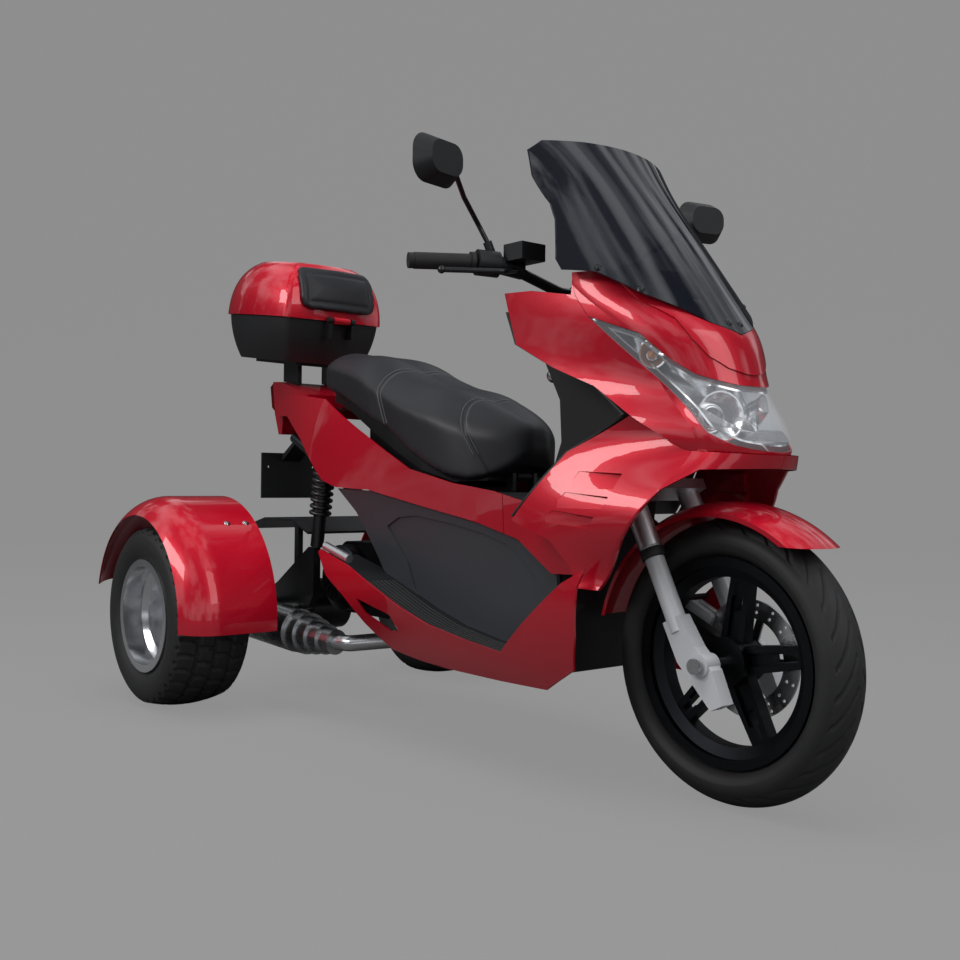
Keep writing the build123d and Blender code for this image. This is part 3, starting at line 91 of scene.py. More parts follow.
def backdrop():
    """Paper sweep: a floor that curves up into a wall behind the trike."""
    near, depth, bend, height, width = -7.0, 9.0, 3.0, 7.0, 18.0
    away = Vector((-math.sin(CAMERA_YAW), math.cos(CAMERA_YAW), 0))
    across = Vector((away.y, -away.x, 0))
    profile = [(near, 0.0), (depth, 0.0)]
    for i in range(1, 19):
        angle = math.radians(5 * i)
        profile.append((depth + bend * math.sin(angle), bend - bend * math.cos(angle)))
    profile.append((depth + bend, height))
    verts = [away * d + across * side * width + Vector((0, 0, z))
             for d, z in profile for side in (-1, 1)]
    faces = [(2 * i, 2 * i + 1, 2 * i + 3, 2 * i + 2) for i in range(len(profile) - 1)]
    mesh = bpy.data.meshes.new("paper_sweep")
    mesh.from_pydata(verts, [], faces)
    mesh.shade_smooth()
    material, tree, shader = finish_of("Matt_paper", "#5c5c5c", 0.9)
    glow = put(tree, "ShaderNodeEmission", {}, ("Color", linear(PAPER_TONE)), ("Strength", PAPER_GLOW))
    shade = put(tree, "ShaderNodeBsdfDiffuse", {}, ("Color", linear(PAPER_SHADE)))
    seen = put(tree, "ShaderNodeAddShader", {}, (0, glow.outputs[0]), (1, shade.outputs[0]))
    rays = put(tree, "ShaderNodeLightPath", {}).outputs["Is Camera Ray"]
    mixed = put(tree, "ShaderNodeMixShader", {}, (0, rays), (1, shader.outputs[0]), (2, seen.outputs[0]))
    tree.links.new(mixed.outputs[0], tree.nodes["Material Output"].inputs["Surface"])
    mesh.materials.append(material)
    sweep = bpy.data.objects.new("paper_sweep", mesh)
    bpy.context.scene.collection.objects.link(sweep)


def soft_box(name, place, aim, size, watts):
    """A rectangular area light that faces a point."""
    light = bpy.data.lights.new(name, "AREA")
    light.shape = "RECTANGLE"
    light.size, light.size_y = size
    light.energy = watts
    lamp = bpy.data.objects.new(name, light)
    lamp.location = place
    lamp.rotation_euler = (Vector(aim) - Vector(place)).to_track_quat("-Z", "Y").to_euler()
    bpy.context.scene.collection.objects.link(lamp)
    return lamp


backdrop()
overhead = soft_box("overhead_box", (0.3, -0.6, 3.6), (0, 0, 0.5), (3.6, 2.2), 150)
overhead.visible_glossy = False
soft_box("side_box", (-0.6, -4.2, 3.0), (0, 0, 0.6), (3.4, 1.2), 75)
soft_box("front_box", (4.2, 0.4, 2.9), (0.4, 0, 0.7), (2.4, 3.0), 42)
world = bpy.data.worlds.new("Studio_air")
bpy.context.scene.world = world
world.use_nodes = True
air = world.node_tree
air.nodes["Background"].inputs["Color"].default_value = linear("#f2f4f6")
air.nodes["Background"].inputs["Strength"].default_value = 0.4
view_of = put(air, "ShaderNodeTexCoord", {}).outputs["Object"]
clouds = put(air, "ShaderNodeTexNoise", {}, ("Vector", view_of), ("Scale", CLOUD_SCALE), ("Detail", 5.0))
parted = put(air, "ShaderNodeMapRange", {}, ("Value", clouds.outputs["Fac"]), ("From Min", CLOUD_FROM),
             ("From Max", CLOUD_TO))
sky = put(air, "ShaderNodeMix", {"data_type": "RGBA"}, (0, parted.outputs[0]),
          (6, linear("#0c0e12")), (7, linear("#f4f7fb")))
cloudy = put(air, "ShaderNodeBackground", {}, ("Color", sky.outputs[2]), ("Strength", 1.0))
mirrored = put(air, "ShaderNodeLightPath", {}).outputs["Is Glossy Ray"]
either = put(air, "ShaderNodeMixShader", {}, (0, mirrored), (1, air.nodes["Background"].outputs[0]),
             (2, cloudy.outputs[0]))
air.links.new(either.outputs[0], air.nodes["World Output"].inputs["Surface"])
bpy.context.scene.view_settings.view_transform = "Standard"

camera_data = bpy.data.cameras.new("photo_camera")
camera_data.lens = CAMERA_LENS
camera_data.sensor_width = CAMERA_SENSOR
camera = bpy.data.objects.new("photo_camera", camera_data)
looking = Vector((-math.sin(CAMERA_YAW) * math.cos(CAMERA_PITCH),
                  math.cos(CAMERA_YAW) * math.cos(CAMERA_PITCH), math.sin(CAMERA_PITCH)))
flat_right = looking.cross(Vector((0, 0, 1))).normalized()
flat_up = flat_right.cross(looking)
right = flat_right * math.cos(CAMERA_ROLL) + flat_up * math.sin(CAMERA_ROLL)
up = flat_up * math.cos(CAMERA_ROLL) - flat_right * math.sin(CAMERA_ROLL)
turned_camera = Matrix((right, up, -looking)).transposed().to_4x4()
camera.matrix_world = Matrix.Translation(CAMERA_PLACE) @ turned_camera
bpy.context.scene.collection.objects.link(camera)
bpy.context.scene.camera = camera

# Red body panels. Injection-moulded ABS with a red metallic base coat under a deep clear
# coat. The clear coat gives sharp reflections over a colour that glitters slightly.
FLAKE_MM = 1.6


def scale_of(size_mm):
    """Texture scale, in object coordinates, for features of a real size in millimetres."""
    return 1000.0 / size_mm


def coat(material, *names):
    """Gives CAD nodes one material."""
    for name in names:
        mesh = nodes[name].data
        mesh.materials.clear()
        mesh.materials.append(material)


def red_lacquer():
    """The flakes are drawn coarser than real ones so that they show."""
    material, tree, shader = finish_of("Red_metallic_lacquer", "#b80020", 0.34, ("Metallic", 0.4),
                                       ("Coat Weight", 1.0), ("Coat Roughness", 0.02), ("IOR", 1.5))
    where = put(tree, "ShaderNodeTexCoord", {}).outputs["Object"]
    flakes = put(tree, "ShaderNodeTexVoronoi", {}, ("Vector", where), ("Scale", scale_of(FLAKE_MM)))
    drift = put(tree, "ShaderNodeTexNoise", {}, ("Vector", where), ("Scale", scale_of(240)), ("Detail", 2.0))
    ramp = put(tree, "ShaderNodeMapRange", {}, ("Value", flakes.outputs["Distance"]), ("To Min", 0.30),
               ("To Max", 0.42))
    tree.links.new(ramp.outputs[0], shader.inputs["Roughness"])
    tone = put(tree, "ShaderNodeMix", {"data_type": "RGBA"}, ("Factor", drift.outputs["Fac"]),
               (6, linear("#b0001c")), (7, linear("#c60126")))
    tree.links.new(tone.outputs[2], shader.inputs["Base Color"])
    return material


red = red_lacquer()
coat(red, "front_fender", "front_cowl", "side_fairings", "wings", "lower_fairings", "side_panels",
     "tail_section", "case_lid", "rear_fenders")

# Black and grey mouldings. Unpainted polypropylene with a spark-eroded grain, used for the
# inner shield, the floor, the tubs and the switch gear. It looks matt with a faint sheen.
GRAIN_MM = 1.1


def grained_plastic(name, colour, roughness, grain_mm, depth):
    """Moulded plastic with a fine grain, and a sheen that handling has made uneven."""
    material, tree, shader = finish_of(name, colour, roughness, ("IOR", 1.49))
    where = put(tree, "ShaderNodeTexCoord", {}).outputs["Object"]
    grain = put(tree, "ShaderNodeTexNoise", {}, ("Vector", where), ("Scale", scale_of(grain_mm)),
                ("Detail", 3.0))
    handling = put(tree, "ShaderNodeTexNoise", {}, ("Vector", where), ("Scale", scale_of(90)),
                   ("Detail", 4.0))
    sheen = put(tree, "ShaderNodeMapRange", {}, ("Value", handling.outputs["Fac"]),
                ("To Min", roughness - 0.08), ("To Max", roughness + 0.1))
    relief = put(tree, "ShaderNodeBump", {}, ("Height", grain.outputs["Fac"]), ("Strength", depth),
                 ("Distance", 0.2 * MM))
    tree.links.new(sheen.outputs[0], shader.inputs["Roughness"])
    tree.links.new(relief.outputs[0], shader.inputs["Normal"])
    return material


black_moulding = grained_plastic("Black_polypropylene", "#17181a", 0.5, GRAIN_MM, 0.5)
grey_moulding = grained_plastic("Grey_polypropylene", "#3a3d42", 0.42, GRAIN_MM, 0.4)
coat(black_moulding, "inner_shield", "dash_panel", "floorboards", "belly_pan", "wheel_well", "tunnel_cover",
     "luggage_bucket", "case_tub", "rear_mudguard", "plate_holder", "control_blocks", "mirror_heads",
     "seat_pan")
coat(grey_moulding, "footwell_panels")

# Metal. Cast aluminium for the fork's yoke and the pegs, silver paint on its sliders, polished
# aluminium for the rear wheels, brushed steel for the disc and the muffler, painted black
# castings for the engine and the front wheel, and black enamel on the frame and controls.


def metal(name, colour, roughness, grain_mm, depth, spread):
    """Bare metal with an uneven sheen and a fine surface relief."""
    material, tree, shader = finish_of(name, colour, roughness, ("Metallic", 1.0))
    where = put(tree, "ShaderNodeTexCoord", {}).outputs["Object"]
    grain = put(tree, "ShaderNodeTexNoise", {}, ("Vector", where), ("Scale", scale_of(grain_mm)),
                ("Detail", 4.0))
    cloud = put(tree, "ShaderNodeTexNoise", {}, ("Vector", where), ("Scale", scale_of(60)), ("Detail", 3.0))
    sheen = put(tree, "ShaderNodeMapRange", {}, ("Value", cloud.outputs["Fac"]),
                ("To Min", roughness - spread), ("To Max", roughness + spread))
    relief = put(tree, "ShaderNodeBump", {}, ("Height", grain.outputs["Fac"]), ("Strength", depth),
                 ("Distance", 0.15 * MM))
    tree.links.new(sheen.outputs[0], shader.inputs["Roughness"])
    tree.links.new(relief.outputs[0], shader.inputs["Normal"])
    return material


def enamel(name, colour, roughness):
    """Oven-cured paint on metal: an even gloss with a slight orange peel."""
    material, tree, shader = finish_of(name, colour, roughness, ("Coat Weight", 0.4),
                                       ("Coat Roughness", 0.15))
    where = put(tree, "ShaderNodeTexCoord", {}).outputs["Object"]
    peel = put(tree, "ShaderNodeTexNoise", {}, ("Vector", where), ("Scale", scale_of(3.0)), ("Detail", 1.0))
    relief = put(tree, "ShaderNodeBump", {}, ("Height", peel.outputs["Fac"]), ("Strength", 0.25),
                 ("Distance", 0.2 * MM))
    tree.links.new(relief.outputs[0], shader.inputs["Normal"])
    return material


cast_aluminium = metal("Cast_aluminium", "#d8dadd", 0.42, 0.8, 0.3, 0.08)
polished_aluminium = metal("Polished_aluminium", "#e9eaec", 0.2, 2.5, 0.06, 0.04)
brushed_steel = metal("Brushed_steel", "#c3c4c6", 0.27, 0.5, 0.25, 0.07)
black_enamel = enamel("Black_enamel", "#101113", 0.32)
dark_cast = metal("Painted_black_casting", "#26282b", 0.42, 0.9, 0.5, 0.08)
silver_paint = enamel("Silver_paint", "#c6c8cc", 0.34)
coat(cast_aluminium, "fork_yoke", "footpegs")
coat(silver_paint, "fork_lowers", "brake_caliper")
coat(polished_aluminium, "rear_rim_left", "rear_rim_right")
coat(brushed_steel, "front_disc", "front_axle", "muffler")
coat(black_enamel, "handlebar", "mirror_stems", "frame", "rear_axle", "fender_stays", "swing_arms",
     "rear_dampers", "rack", "case_hinge", "brake_levers", "seat_hinge")
coat(dark_cast, "front_rim", "fan_cover", "engine", "cvt_case")

# Lamps and screen. The headlight's lens is clear polycarbonate over a bright vacuum-plated
# housing, the screen is smoked acrylic sheet, and the tail lamp is dark red acrylic.


def clear_sheet(name, colour, ior, cover, roughness=0.03):
    """A thin see-through moulding. The cover is the share of light that it keeps back."""
    material, tree, shader = finish_of(name, colour, roughness, ("IOR", ior), ("Alpha", cover))
    where = put(tree, "ShaderNodeTexCoord", {}).outputs["Object"]
    haze = put(tree, "ShaderNodeTexNoise", {}, ("Vector", where), ("Scale", scale_of(160)), ("Detail", 2.0))
    sheen = put(tree, "ShaderNodeMapRange", {}, ("Value", haze.outputs["Fac"]), ("To Min", roughness),
                ("To Max", roughness + 0.02))
    tree.links.new(sheen.outputs[0], shader.inputs["Roughness"])
    return material


clear_lens = clear_sheet("Clear_polycarbonate", "#f4f8ff", 1.6, 0.09)
smoked_acrylic = clear_sheet("Smoked_acrylic", "#16181f", 1.7, 0.86)
lamp_red = clear_sheet("Dark_red_acrylic", "#5a0509", 1.5, 0.9)
mirror_plating = metal("Vacuum_plated_aluminium", "#f4f5f6", 0.16, 4.0, 0.05, 0.03)
coat(clear_lens, "headlight_lens")
coat(smoked_acrylic, "windscreen")
coat(lamp_red, "tail_lamp")
coat(mirror_plating, "headlight_reflector")

# Tyres. Black rubber, moulded: the front has slanted water grooves that meet in arrows,
# the rears have square blocks in staggered rows, and both have rings on their walls.
front_low, front_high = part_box("front_tyre")
FRONT_AXLE = (Vector(front_low) + Vector(front_high)) / 2


def vulcanised_rubber():
    """Black rubber with a grey bloom and a fine skin."""
    material, tree, shader = finish_of("Vulcanised_rubber", "#1b1b1c", 0.62, ("IOR", 1.52))
    where = put(tree, "ShaderNodeTexCoord", {}).outputs["Object"]
    bloom = put(tree, "ShaderNodeTexNoise", {}, ("Vector", where), ("Scale", scale_of(40)), ("Detail", 5.0))
    tone = put(tree, "ShaderNodeMix", {"data_type": "RGBA"}, ("Factor", bloom.outputs["Fac"]),
               (6, linear("#151516")), (7, linear("#232324")))
    skin = put(tree, "ShaderNodeTexNoise", {}, ("Vector", where), ("Scale", scale_of(1.5)), ("Detail", 2.0))
    relief = put(tree, "ShaderNodeBump", {}, ("Height", skin.outputs["Fac"]), ("Strength", 0.3),
                 ("Distance", 0.2 * MM))
    tree.links.new(tone.outputs[2], shader.inputs["Base Color"])
    tree.links.new(relief.outputs[0], shader.inputs["Normal"])
    return material


rubber = vulcanised_rubber()
coat(rubber, "grips")


def arc_points(start, middle, end, count):
    """Points on the circle through three (radius, width) points, without the last one."""
    (ax, ay), (bx, by), (cx, cy) = start, middle, end
    d = 2 * (ax * (by - cy) + bx * (cy - ay) + cx * (ay - by))
    a_square, b_square, c_square = (x * x + y * y for x, y in (start, middle, end))
    ux = (a_square * (by - cy) + b_square * (cy - ay) + c_square * (ay - by)) / d
    uy = (a_square * (cx - bx) + b_square * (ax - cx) + c_square * (bx - ax)) / d
    radius = math.hypot(ax - ux, ay - uy)
    angles = [math.atan2(y - uy, x - ux) for x, y in (start, middle, end)]
    for i in (1, 2):
        while angles[i] - angles[i - 1] > math.pi:
            angles[i] -= 2 * math.pi
        while angles[i] - angles[i - 1] < -math.pi:
            angles[i] += 2 * math.pi
    steps = [angles[0] + (angles[2] - angles[0]) * i / count for i in range(count)]
    return [(ux + radius * math.cos(a), uy + radius * math.sin(a)) for a in steps]


def piece(name, verts, faces, material, body, smooth=True):
    """A new mesh piece in the row frame that rides on a CAD body."""
    mesh = bpy.data.meshes.new(name)
    mesh.from_pydata(verts, [], faces)
    shape = bmesh.new()
    shape.from_mesh(mesh)
    bmesh.ops.remove_doubles(shape, verts=shape.verts, dist=0.001 * MM)
    bmesh.ops.recalc_face_normals(shape, faces=shape.faces)
    shape.to_mesh(mesh)
    shape.free()
    if smooth:
        mesh.shade_smooth()
    mesh.materials.append(material)
    made = bpy.data.objects.new(name, mesh)
    bpy.context.scene.collection.objects.link(made)
    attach(made, body)
    return made


def treaded_tyre(node, body, bead, lip, shoulder_drop, shoulder_width, bead_width, segments, groove):
    """A tyre of the CAD node's form, with grooves cut inwards by groove(turn, side)."""
    low, high = (Vector(corner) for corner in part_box(node))
    centre = (low + high) / 2
    crown = (high.z - low.z) / 2
    width = high.y - low.y
    toe = lip + 4 * MM
    belly = (toe + crown) / 2 - shoulder_drop * 0.2
    edge = crown - shoulder_drop
    half = [(bead, bead_width / 2)]
    half += arc_points((toe, bead_width / 2), (belly, width / 2), (edge, shoulder_width / 2), 22)
    half += arc_points((edge, shoulder_width / 2), (crown, 0), (edge, -shoulder_width / 2), 56)[:28]
    profile = half + [(crown, 0)] + [(r, -y) for r, y in reversed(half)]
    ring_ridges = (belly - 9 * MM, belly - 5 * MM, belly + 14 * MM)
    verts = []
    for i in range(segments):
        turn = 2 * math.pi * i / segments
        for r, y in profile:
            drop = groove(turn, y / (shoulder_width / 2)) if r > edge - 10 * MM else 0.0
            fade = min(1.0, max(0.0, (r - edge + 10 * MM) / (8 * MM)))
            ridge = max(0.0, 1 - min(abs(r - spot) for spot in ring_ridges) / (1.6 * MM)) * 0.8 * MM
            side = ridge if r < edge - 10 * MM else 0.0
            radius = r - drop * fade
            verts.append((centre.x + radius * math.cos(turn), centre.y + y + math.copysign(side, y),
                          centre.z + radius * math.sin(turn)))
    across = len(profile)
    faces = []
    for i in range(segments):
        j = (i + 1) % segments
        for k in range(across):
            n = (k + 1) % across
            faces.append((i * across + k, i * across + n, j * across + n, j * across + k))
    made = piece(node + "_treaded", verts, faces, rubber, body)
    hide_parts(node)


ARROW_COUNT = 30
ARROW_SLANT = 0.30
ARROW_WIDTH = 0.20
GROOVE_DEPTH = 4.5 * MM


def arrow_groove(turn, side):
    """Slanted grooves that run out from near the middle to the shoulder, left and right in turn."""
    shift = 0.5 if side > 0 else 0.0
    place = (turn * ARROW_COUNT / (2 * math.pi) + abs(side) * ARROW_SLANT * 6 + shift) % 1.0
    inside = ARROW_WIDTH * (0.55 + 0.45 * abs(side))
    return GROOVE_DEPTH if place < inside and 0.14 < abs(side) < 0.97 else 0.0


BLOCK_COUNT = 34
BLOCK_ROWS = 4
BLOCK_GAP = 0.24
BLOCK_DEPTH = 8.0 * MM


def block_groove(turn, side):
    """Square blocks in staggered rows, with round grooves between the rows."""
    row = (side + 1) / 2 * BLOCK_ROWS
    in_row = row % 1.0
    stagger = 0.5 * (math.floor(row) % 2)
    along = (turn * BLOCK_COUNT / (2 * math.pi) + stagger + 0.12 * in_row) % 1.0
    between_rows = min(in_row, 1 - in_row) < 0.09 and abs(side) < 0.9
    return BLOCK_DEPTH if along < BLOCK_GAP or between_rows else 0.0


# Columns: bead radius, lip radius, shoulder drop, shoulder width and bead width in millimetres
FRONT_TYRE_FORM = (178.3, 190, 22, 82, 55)
REAR_TYRE_FORM = (128.3, 141, 13, 176, 177)
FRONT_SEGMENTS, REAR_SEGMENTS = 480, 408
treaded_tyre("front_tyre", "front_wheel", *[size * MM for size in FRONT_TYRE_FORM], FRONT_SEGMENTS,
             arrow_groove)
for side_name in ("left", "right"):
    treaded_tyre("rear_tyre_" + side_name, "rear_wheel_" + side_name,
                 *[size * MM for size in REAR_TYRE_FORM], REAR_SEGMENTS, block_groove)

# Seat and backrest. Leatherette over moulded foam: the covers are sewn from panels, and the
# seams pull the foam in. Each is remeshed from its solid, rounded, crowned between its seams.
REMESH_MM = 5.0
ROUNDING_PASSES = 12
CROWN_MM, CROWN_REACH_MM = 4.0, 40.0
SEAM_SINK_MM, SEAM_REACH_MM = 3.0, 4.5
COVER_GRAIN_MM = 2.2


def leatherette():
    """Pebbled cover. Its grain is drawn coarser than a real one so that it shows."""
    material, tree, shader = finish_of("Black_leatherette", "#1c1c20", 0.46, ("IOR", 1.5))
    where = put(tree, "ShaderNodeTexCoord", {}).outputs["Object"]
    pebbles = put(tree, "ShaderNodeTexVoronoi", {}, ("Vector", where), ("Scale", scale_of(COVER_GRAIN_MM)))
    worn = put(tree, "ShaderNodeTexNoise", {}, ("Vector", where), ("Scale", scale_of(110)), ("Detail", 3.0))
    sheen = put(tree, "ShaderNodeMapRange", {}, ("Value", worn.outputs["Fac"]), ("To Min", 0.38),
                ("To Max", 0.54))
    relief = put(tree, "ShaderNodeBump", {}, ("Height", pebbles.outputs["Distance"]), ("Strength", 0.35),
                 ("Distance", 0.4 * MM))
    tree.links.new(sheen.outputs[0], shader.inputs["Roughness"])
    tree.links.new(relief.outputs[0], shader.inputs["Normal"])
    return material


cover = leatherette()


def plain_mesh(made):
    """The mesh of an object with its modifiers worked in, which are then removed."""
    bpy.context.view_layer.update()
    mesh = bpy.data.meshes.new_from_object(made.evaluated_get(bpy.context.evaluated_depsgraph_get()))
    made.modifiers.clear()
    made.data = mesh
    return mesh


def cushion(node, body, seams):
    """A soft copy of a node, full between its seams. A seam gives a point's distance from itself."""
    source = nodes[node]
    mesh = source.data.copy()
    mesh.transform(source.matrix_world)
    shape = bmesh.new()
    shape.from_mesh(mesh)
    bmesh.ops.remove_doubles(shape, verts=shape.verts, dist=0.01 * MM)
    shape.to_mesh(mesh)
    shape.free()
    made = bpy.data.objects.new(node + "_cover", mesh)
    bpy.context.scene.collection.objects.link(made)
    voxels = made.modifiers.new("Voxels", "REMESH")
    voxels.mode = "VOXEL"
    voxels.voxel_size = REMESH_MM * MM
    rounding = made.modifiers.new("Rounding", "SMOOTH")
    rounding.factor = 0.5
    rounding.iterations = ROUNDING_PASSES
    mesh = plain_mesh(made)
    normals = [v.normal.copy() for v in mesh.vertices]
    for v, normal in zip(mesh.vertices, normals):
        gap = min(abs(seam(v.co)) for seam in seams)
        crown = CROWN_MM * (1 - math.exp(-(gap / (CROWN_REACH_MM * MM)) ** 2))
        sink = SEAM_SINK_MM * math.exp(-(gap / (SEAM_REACH_MM * MM)) ** 2)
        v.co += normal * (crown - sink) * MM
    mesh.materials.clear()
    mesh.materials.append(cover)
    mesh.shade_smooth()
    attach(made, body)
    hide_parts(node)
    return made


def leaning_seam(foot, head):
    """Distance along the vehicle from a seam that leans between two (x, z) points."""
    lean = (head[0] - foot[0]) / (head[1] - foot[1])
    return lambda co: co.x - foot[0] - lean * (co.z - foot[1])


seat_low, seat_high = (Vector(corner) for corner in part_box("seat"))


def on_seat(behind, above):
    """An (x, z) point from metres behind the seat's nose and above its lowest edge."""
    return seat_high.x - behind, seat_low.z + above


NOSE_SEAM = leaning_seam(on_seat(0.052, 0.0), on_seat(0.150, 0.190))
STEP_SEAM = leaning_seam(on_seat(0.352, 0.112), on_seat(0.420, 0.262))
seat_cover = cushion("seat", "seat", (NOSE_SEAM, STEP_SEAM))

pad_low, pad_high = (Vector(corner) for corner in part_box("case_pad"))
PAD_BORDER_MM = 20.0


def pad_seam(co):
    """Distance from the piping that runs round the backrest, inside its edge."""
    across = (pad_high.y - pad_low.y) / 2 - abs(co.y)
    upward = min(co.z - pad_low.z, pad_high.z - co.z)
    return min(across, upward) - PAD_BORDER_MM * MM


cushion("case_pad", "case_lid", (pad_seam,))

# Stitches. Two rows of grey thread beside each seam of the seat, in even steps along a line
# that is laid on the finished cover.
STITCH_PITCH, STITCH_LENGTH, THREAD = 6.0 * MM, 4.4 * MM, 0.7 * MM
STITCH_FROM_SEAM = 6.0 * MM
SWEEP_FROM_DEG, SWEEP_DEG = -20, 220
STITCH_REACH = 0.4


def surface(made):
    """A search tree of an object's faces in the row frame."""
    corners = [made.matrix_world @ v.co for v in made.data.vertices]
    return BVHTree.FromPolygons(corners, [tuple(face.vertices) for face in made.data.polygons])


def seam_line(tree, seam, shift, centre, reach, steps=60):
    """Points over the cushion beside a seam, from the lower right edge to the lower left edge."""
    line = []
    for i in range(steps + 1):
        angle = math.radians(SWEEP_FROM_DEG + SWEEP_DEG * i / steps)
        outward = Vector((0, -math.cos(angle), math.sin(angle)))
        start = centre + outward * reach
        start.x -= seam(start) - shift
        end = centre.copy()
        end.x -= seam(end) - shift
        spot, normal, _, _ = tree.ray_cast(start, (end - start).normalized(), reach)
        if spot:
            line.append(spot + normal * THREAD * 0.4)
    return line


def group_tree(name, sockets):
    """A new geometry node tree with these named inputs, and its input node's outputs."""
    tree = bpy.data.node_groups.new(name, "GeometryNodeTree")
    tree.interface.new_socket("Geometry", in_out="INPUT", socket_type="NodeSocketGeometry")
    for label, kind in sockets:
        tree.interface.new_socket(label, in_out="INPUT", socket_type="NodeSocket" + kind)
    tree.interface.new_socket("Geometry", in_out="OUTPUT", socket_type="NodeSocketGeometry")
    return tree, put(tree, "NodeGroupInput", {}).outputs


def end_tree(tree, shape, finish):
    """Closes a tree: real copies with one material."""
    real = put(tree, "GeometryNodeRealizeInstances", {}, ("Geometry", shape))
    painted = put(tree, "GeometryNodeSetMaterial", {}, ("Geometry", real.outputs[0]), ("Material", finish))
    put(tree, "NodeGroupOutput", {}, ("Geometry", painted.outputs[0]))


def grown(name, lines, tree, inputs, body):
    """A piece that a geometry node tree grows from lines of points in the row frame."""
    verts, edges = [], []
    for line in lines:
        edges += [(len(verts) + i, len(verts) + i + 1) for i in range(len(line) - 1)]
        verts += line
    mesh = bpy.data.meshes.new(name)
    mesh.from_pydata(verts, edges, [])
    made = bpy.data.objects.new(name, mesh)
    bpy.context.scene.collection.objects.link(made)
    growth = made.modifiers.new("Growth", "NODES")
    growth.node_group = tree
    for socket in tree.interface.items_tree:
        if socket.in_out == "INPUT" and socket.name in inputs:
            growth[socket.identifier] = inputs[socket.name]
    plain_mesh(made).shade_smooth()
    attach(made, body)
    return made


stitch_tree, given = group_tree("Stitch_row", (("Pitch", "Float"), ("Length", "Float"), ("Thread", "Float"),
                                               ("Finish", "Material")))
path = put(stitch_tree, "GeometryNodeMeshToCurve", {}, ("Mesh", given["Geometry"]))
spots = put(stitch_tree, "GeometryNodeCurveToPoints", {"mode": "LENGTH"}, ("Curve", path.outputs[0]),
            ("Length", given["Pitch"]))
thread = put(stitch_tree, "GeometryNodeMeshCylinder", {}, ("Vertices", 8), ("Radius", given["Thread"]),
             ("Depth", given["Length"]))
rows = put(stitch_tree, "GeometryNodeInstanceOnPoints", {}, ("Points", spots.outputs["Points"]),
           ("Instance", thread.outputs["Mesh"]), ("Rotation", spots.outputs["Rotation"]))
end_tree(stitch_tree, rows.outputs[0], given["Finish"])

sewing_thread = grained_plastic("Grey_sewing_thread", "#6a6b70", 0.6, 0.8, 0.3)
seat_faces = surface(seat_cover)
stitch_lines = []
# Columns: seam, and the sweep's centre behind the seat's nose and above its lowest edge in metres
STITCHED_SEAMS = ((NOSE_SEAM, 0.100, 0.095), (STEP_SEAM, 0.400, 0.185))
for seam, behind, above in STITCHED_SEAMS:
    x, z = on_seat(behind, above)
    for shift in (-STITCH_FROM_SEAM, STITCH_FROM_SEAM):
        stitch_lines.append(seam_line(seat_faces, seam, shift, Vector((x, 0, z)), STITCH_REACH))
sewing = {"Pitch": STITCH_PITCH, "Length": STITCH_LENGTH, "Thread": THREAD, "Finish": sewing_thread}
grown("seat_stitches", stitch_lines, stitch_tree, sewing, "seat")

# Screws. Button-head screws on washers hold the screen to the cowl and the rear mudguards to
# their stays. Each is laid on the face of the piece that it holds.
screw_tree, given = group_tree("Screw_heads", (("Radius", "Float"), ("Finish", "Material")))
path = put(screw_tree, "GeometryNodeMeshToCurve", {}, ("Mesh", given["Geometry"]))
ends = put(screw_tree, "GeometryNodeCurveToPoints", {"mode": "COUNT"}, ("Curve", path.outputs[0]),
           ("Count", 2))
index = put(screw_tree, "GeometryNodeInputIndex", {}).outputs[0]
odd = put(screw_tree, "ShaderNodeMath", {"operation": "MODULO"}, (0, index), (1, 2.0))
first = put(screw_tree, "ShaderNodeMath", {"operation": "LESS_THAN"}, (0, odd.outputs[0]), (1, 0.5))
thick = put(screw_tree, "ShaderNodeMath", {"operation": "MULTIPLY"}, (0, given["Radius"]), (1, 0.25))
head_wide = put(screw_tree, "ShaderNodeMath", {"operation": "MULTIPLY"}, (0, given["Radius"]), (1, 0.72))
head_top = put(screw_tree, "ShaderNodeMath", {"operation": "MULTIPLY"}, (0, given["Radius"]), (1, 0.4))
washer = put(screw_tree, "GeometryNodeMeshCylinder", {}, ("Vertices", 32), ("Radius", given["Radius"]),
             ("Depth", thick.outputs[0]))
head = put(screw_tree, "GeometryNodeMeshCone", {}, ("Vertices", 32), ("Radius Top", head_top.outputs[0]),
           ("Radius Bottom", head_wide.outputs[0]), ("Depth", head_top.outputs[0]))
both = put(screw_tree, "GeometryNodeJoinGeometry", {}, (0, washer.outputs["Mesh"]))
screw_tree.links.new(head.outputs["Mesh"], both.inputs[0])
heads = put(screw_tree, "GeometryNodeInstanceOnPoints", {}, ("Points", ends.outputs["Points"]),
            ("Selection", first.outputs[0]), ("Instance", both.outputs[0]),
            ("Rotation", ends.outputs["Rotation"]))
end_tree(screw_tree, heads.outputs[0], given["Finish"])


def laid_on(made, start, aim):
    """A short line that stands on the face which a ray from start towards aim meets."""
    way = Vector(aim) - Vector(start)
    spot, normal, _, _ = surface(made).ray_cast(Vector(start), way.normalized())
    if normal.dot(way) > 0:
        normal = -normal
    return [spot, spot + normal * 5 * MM]


def station(s, y, z):
    """A place in the row frame from millimetres behind the front axle, to the left and up."""
    return Vector((FRONT_AXLE.x - s * MM, y * MM, z * MM))


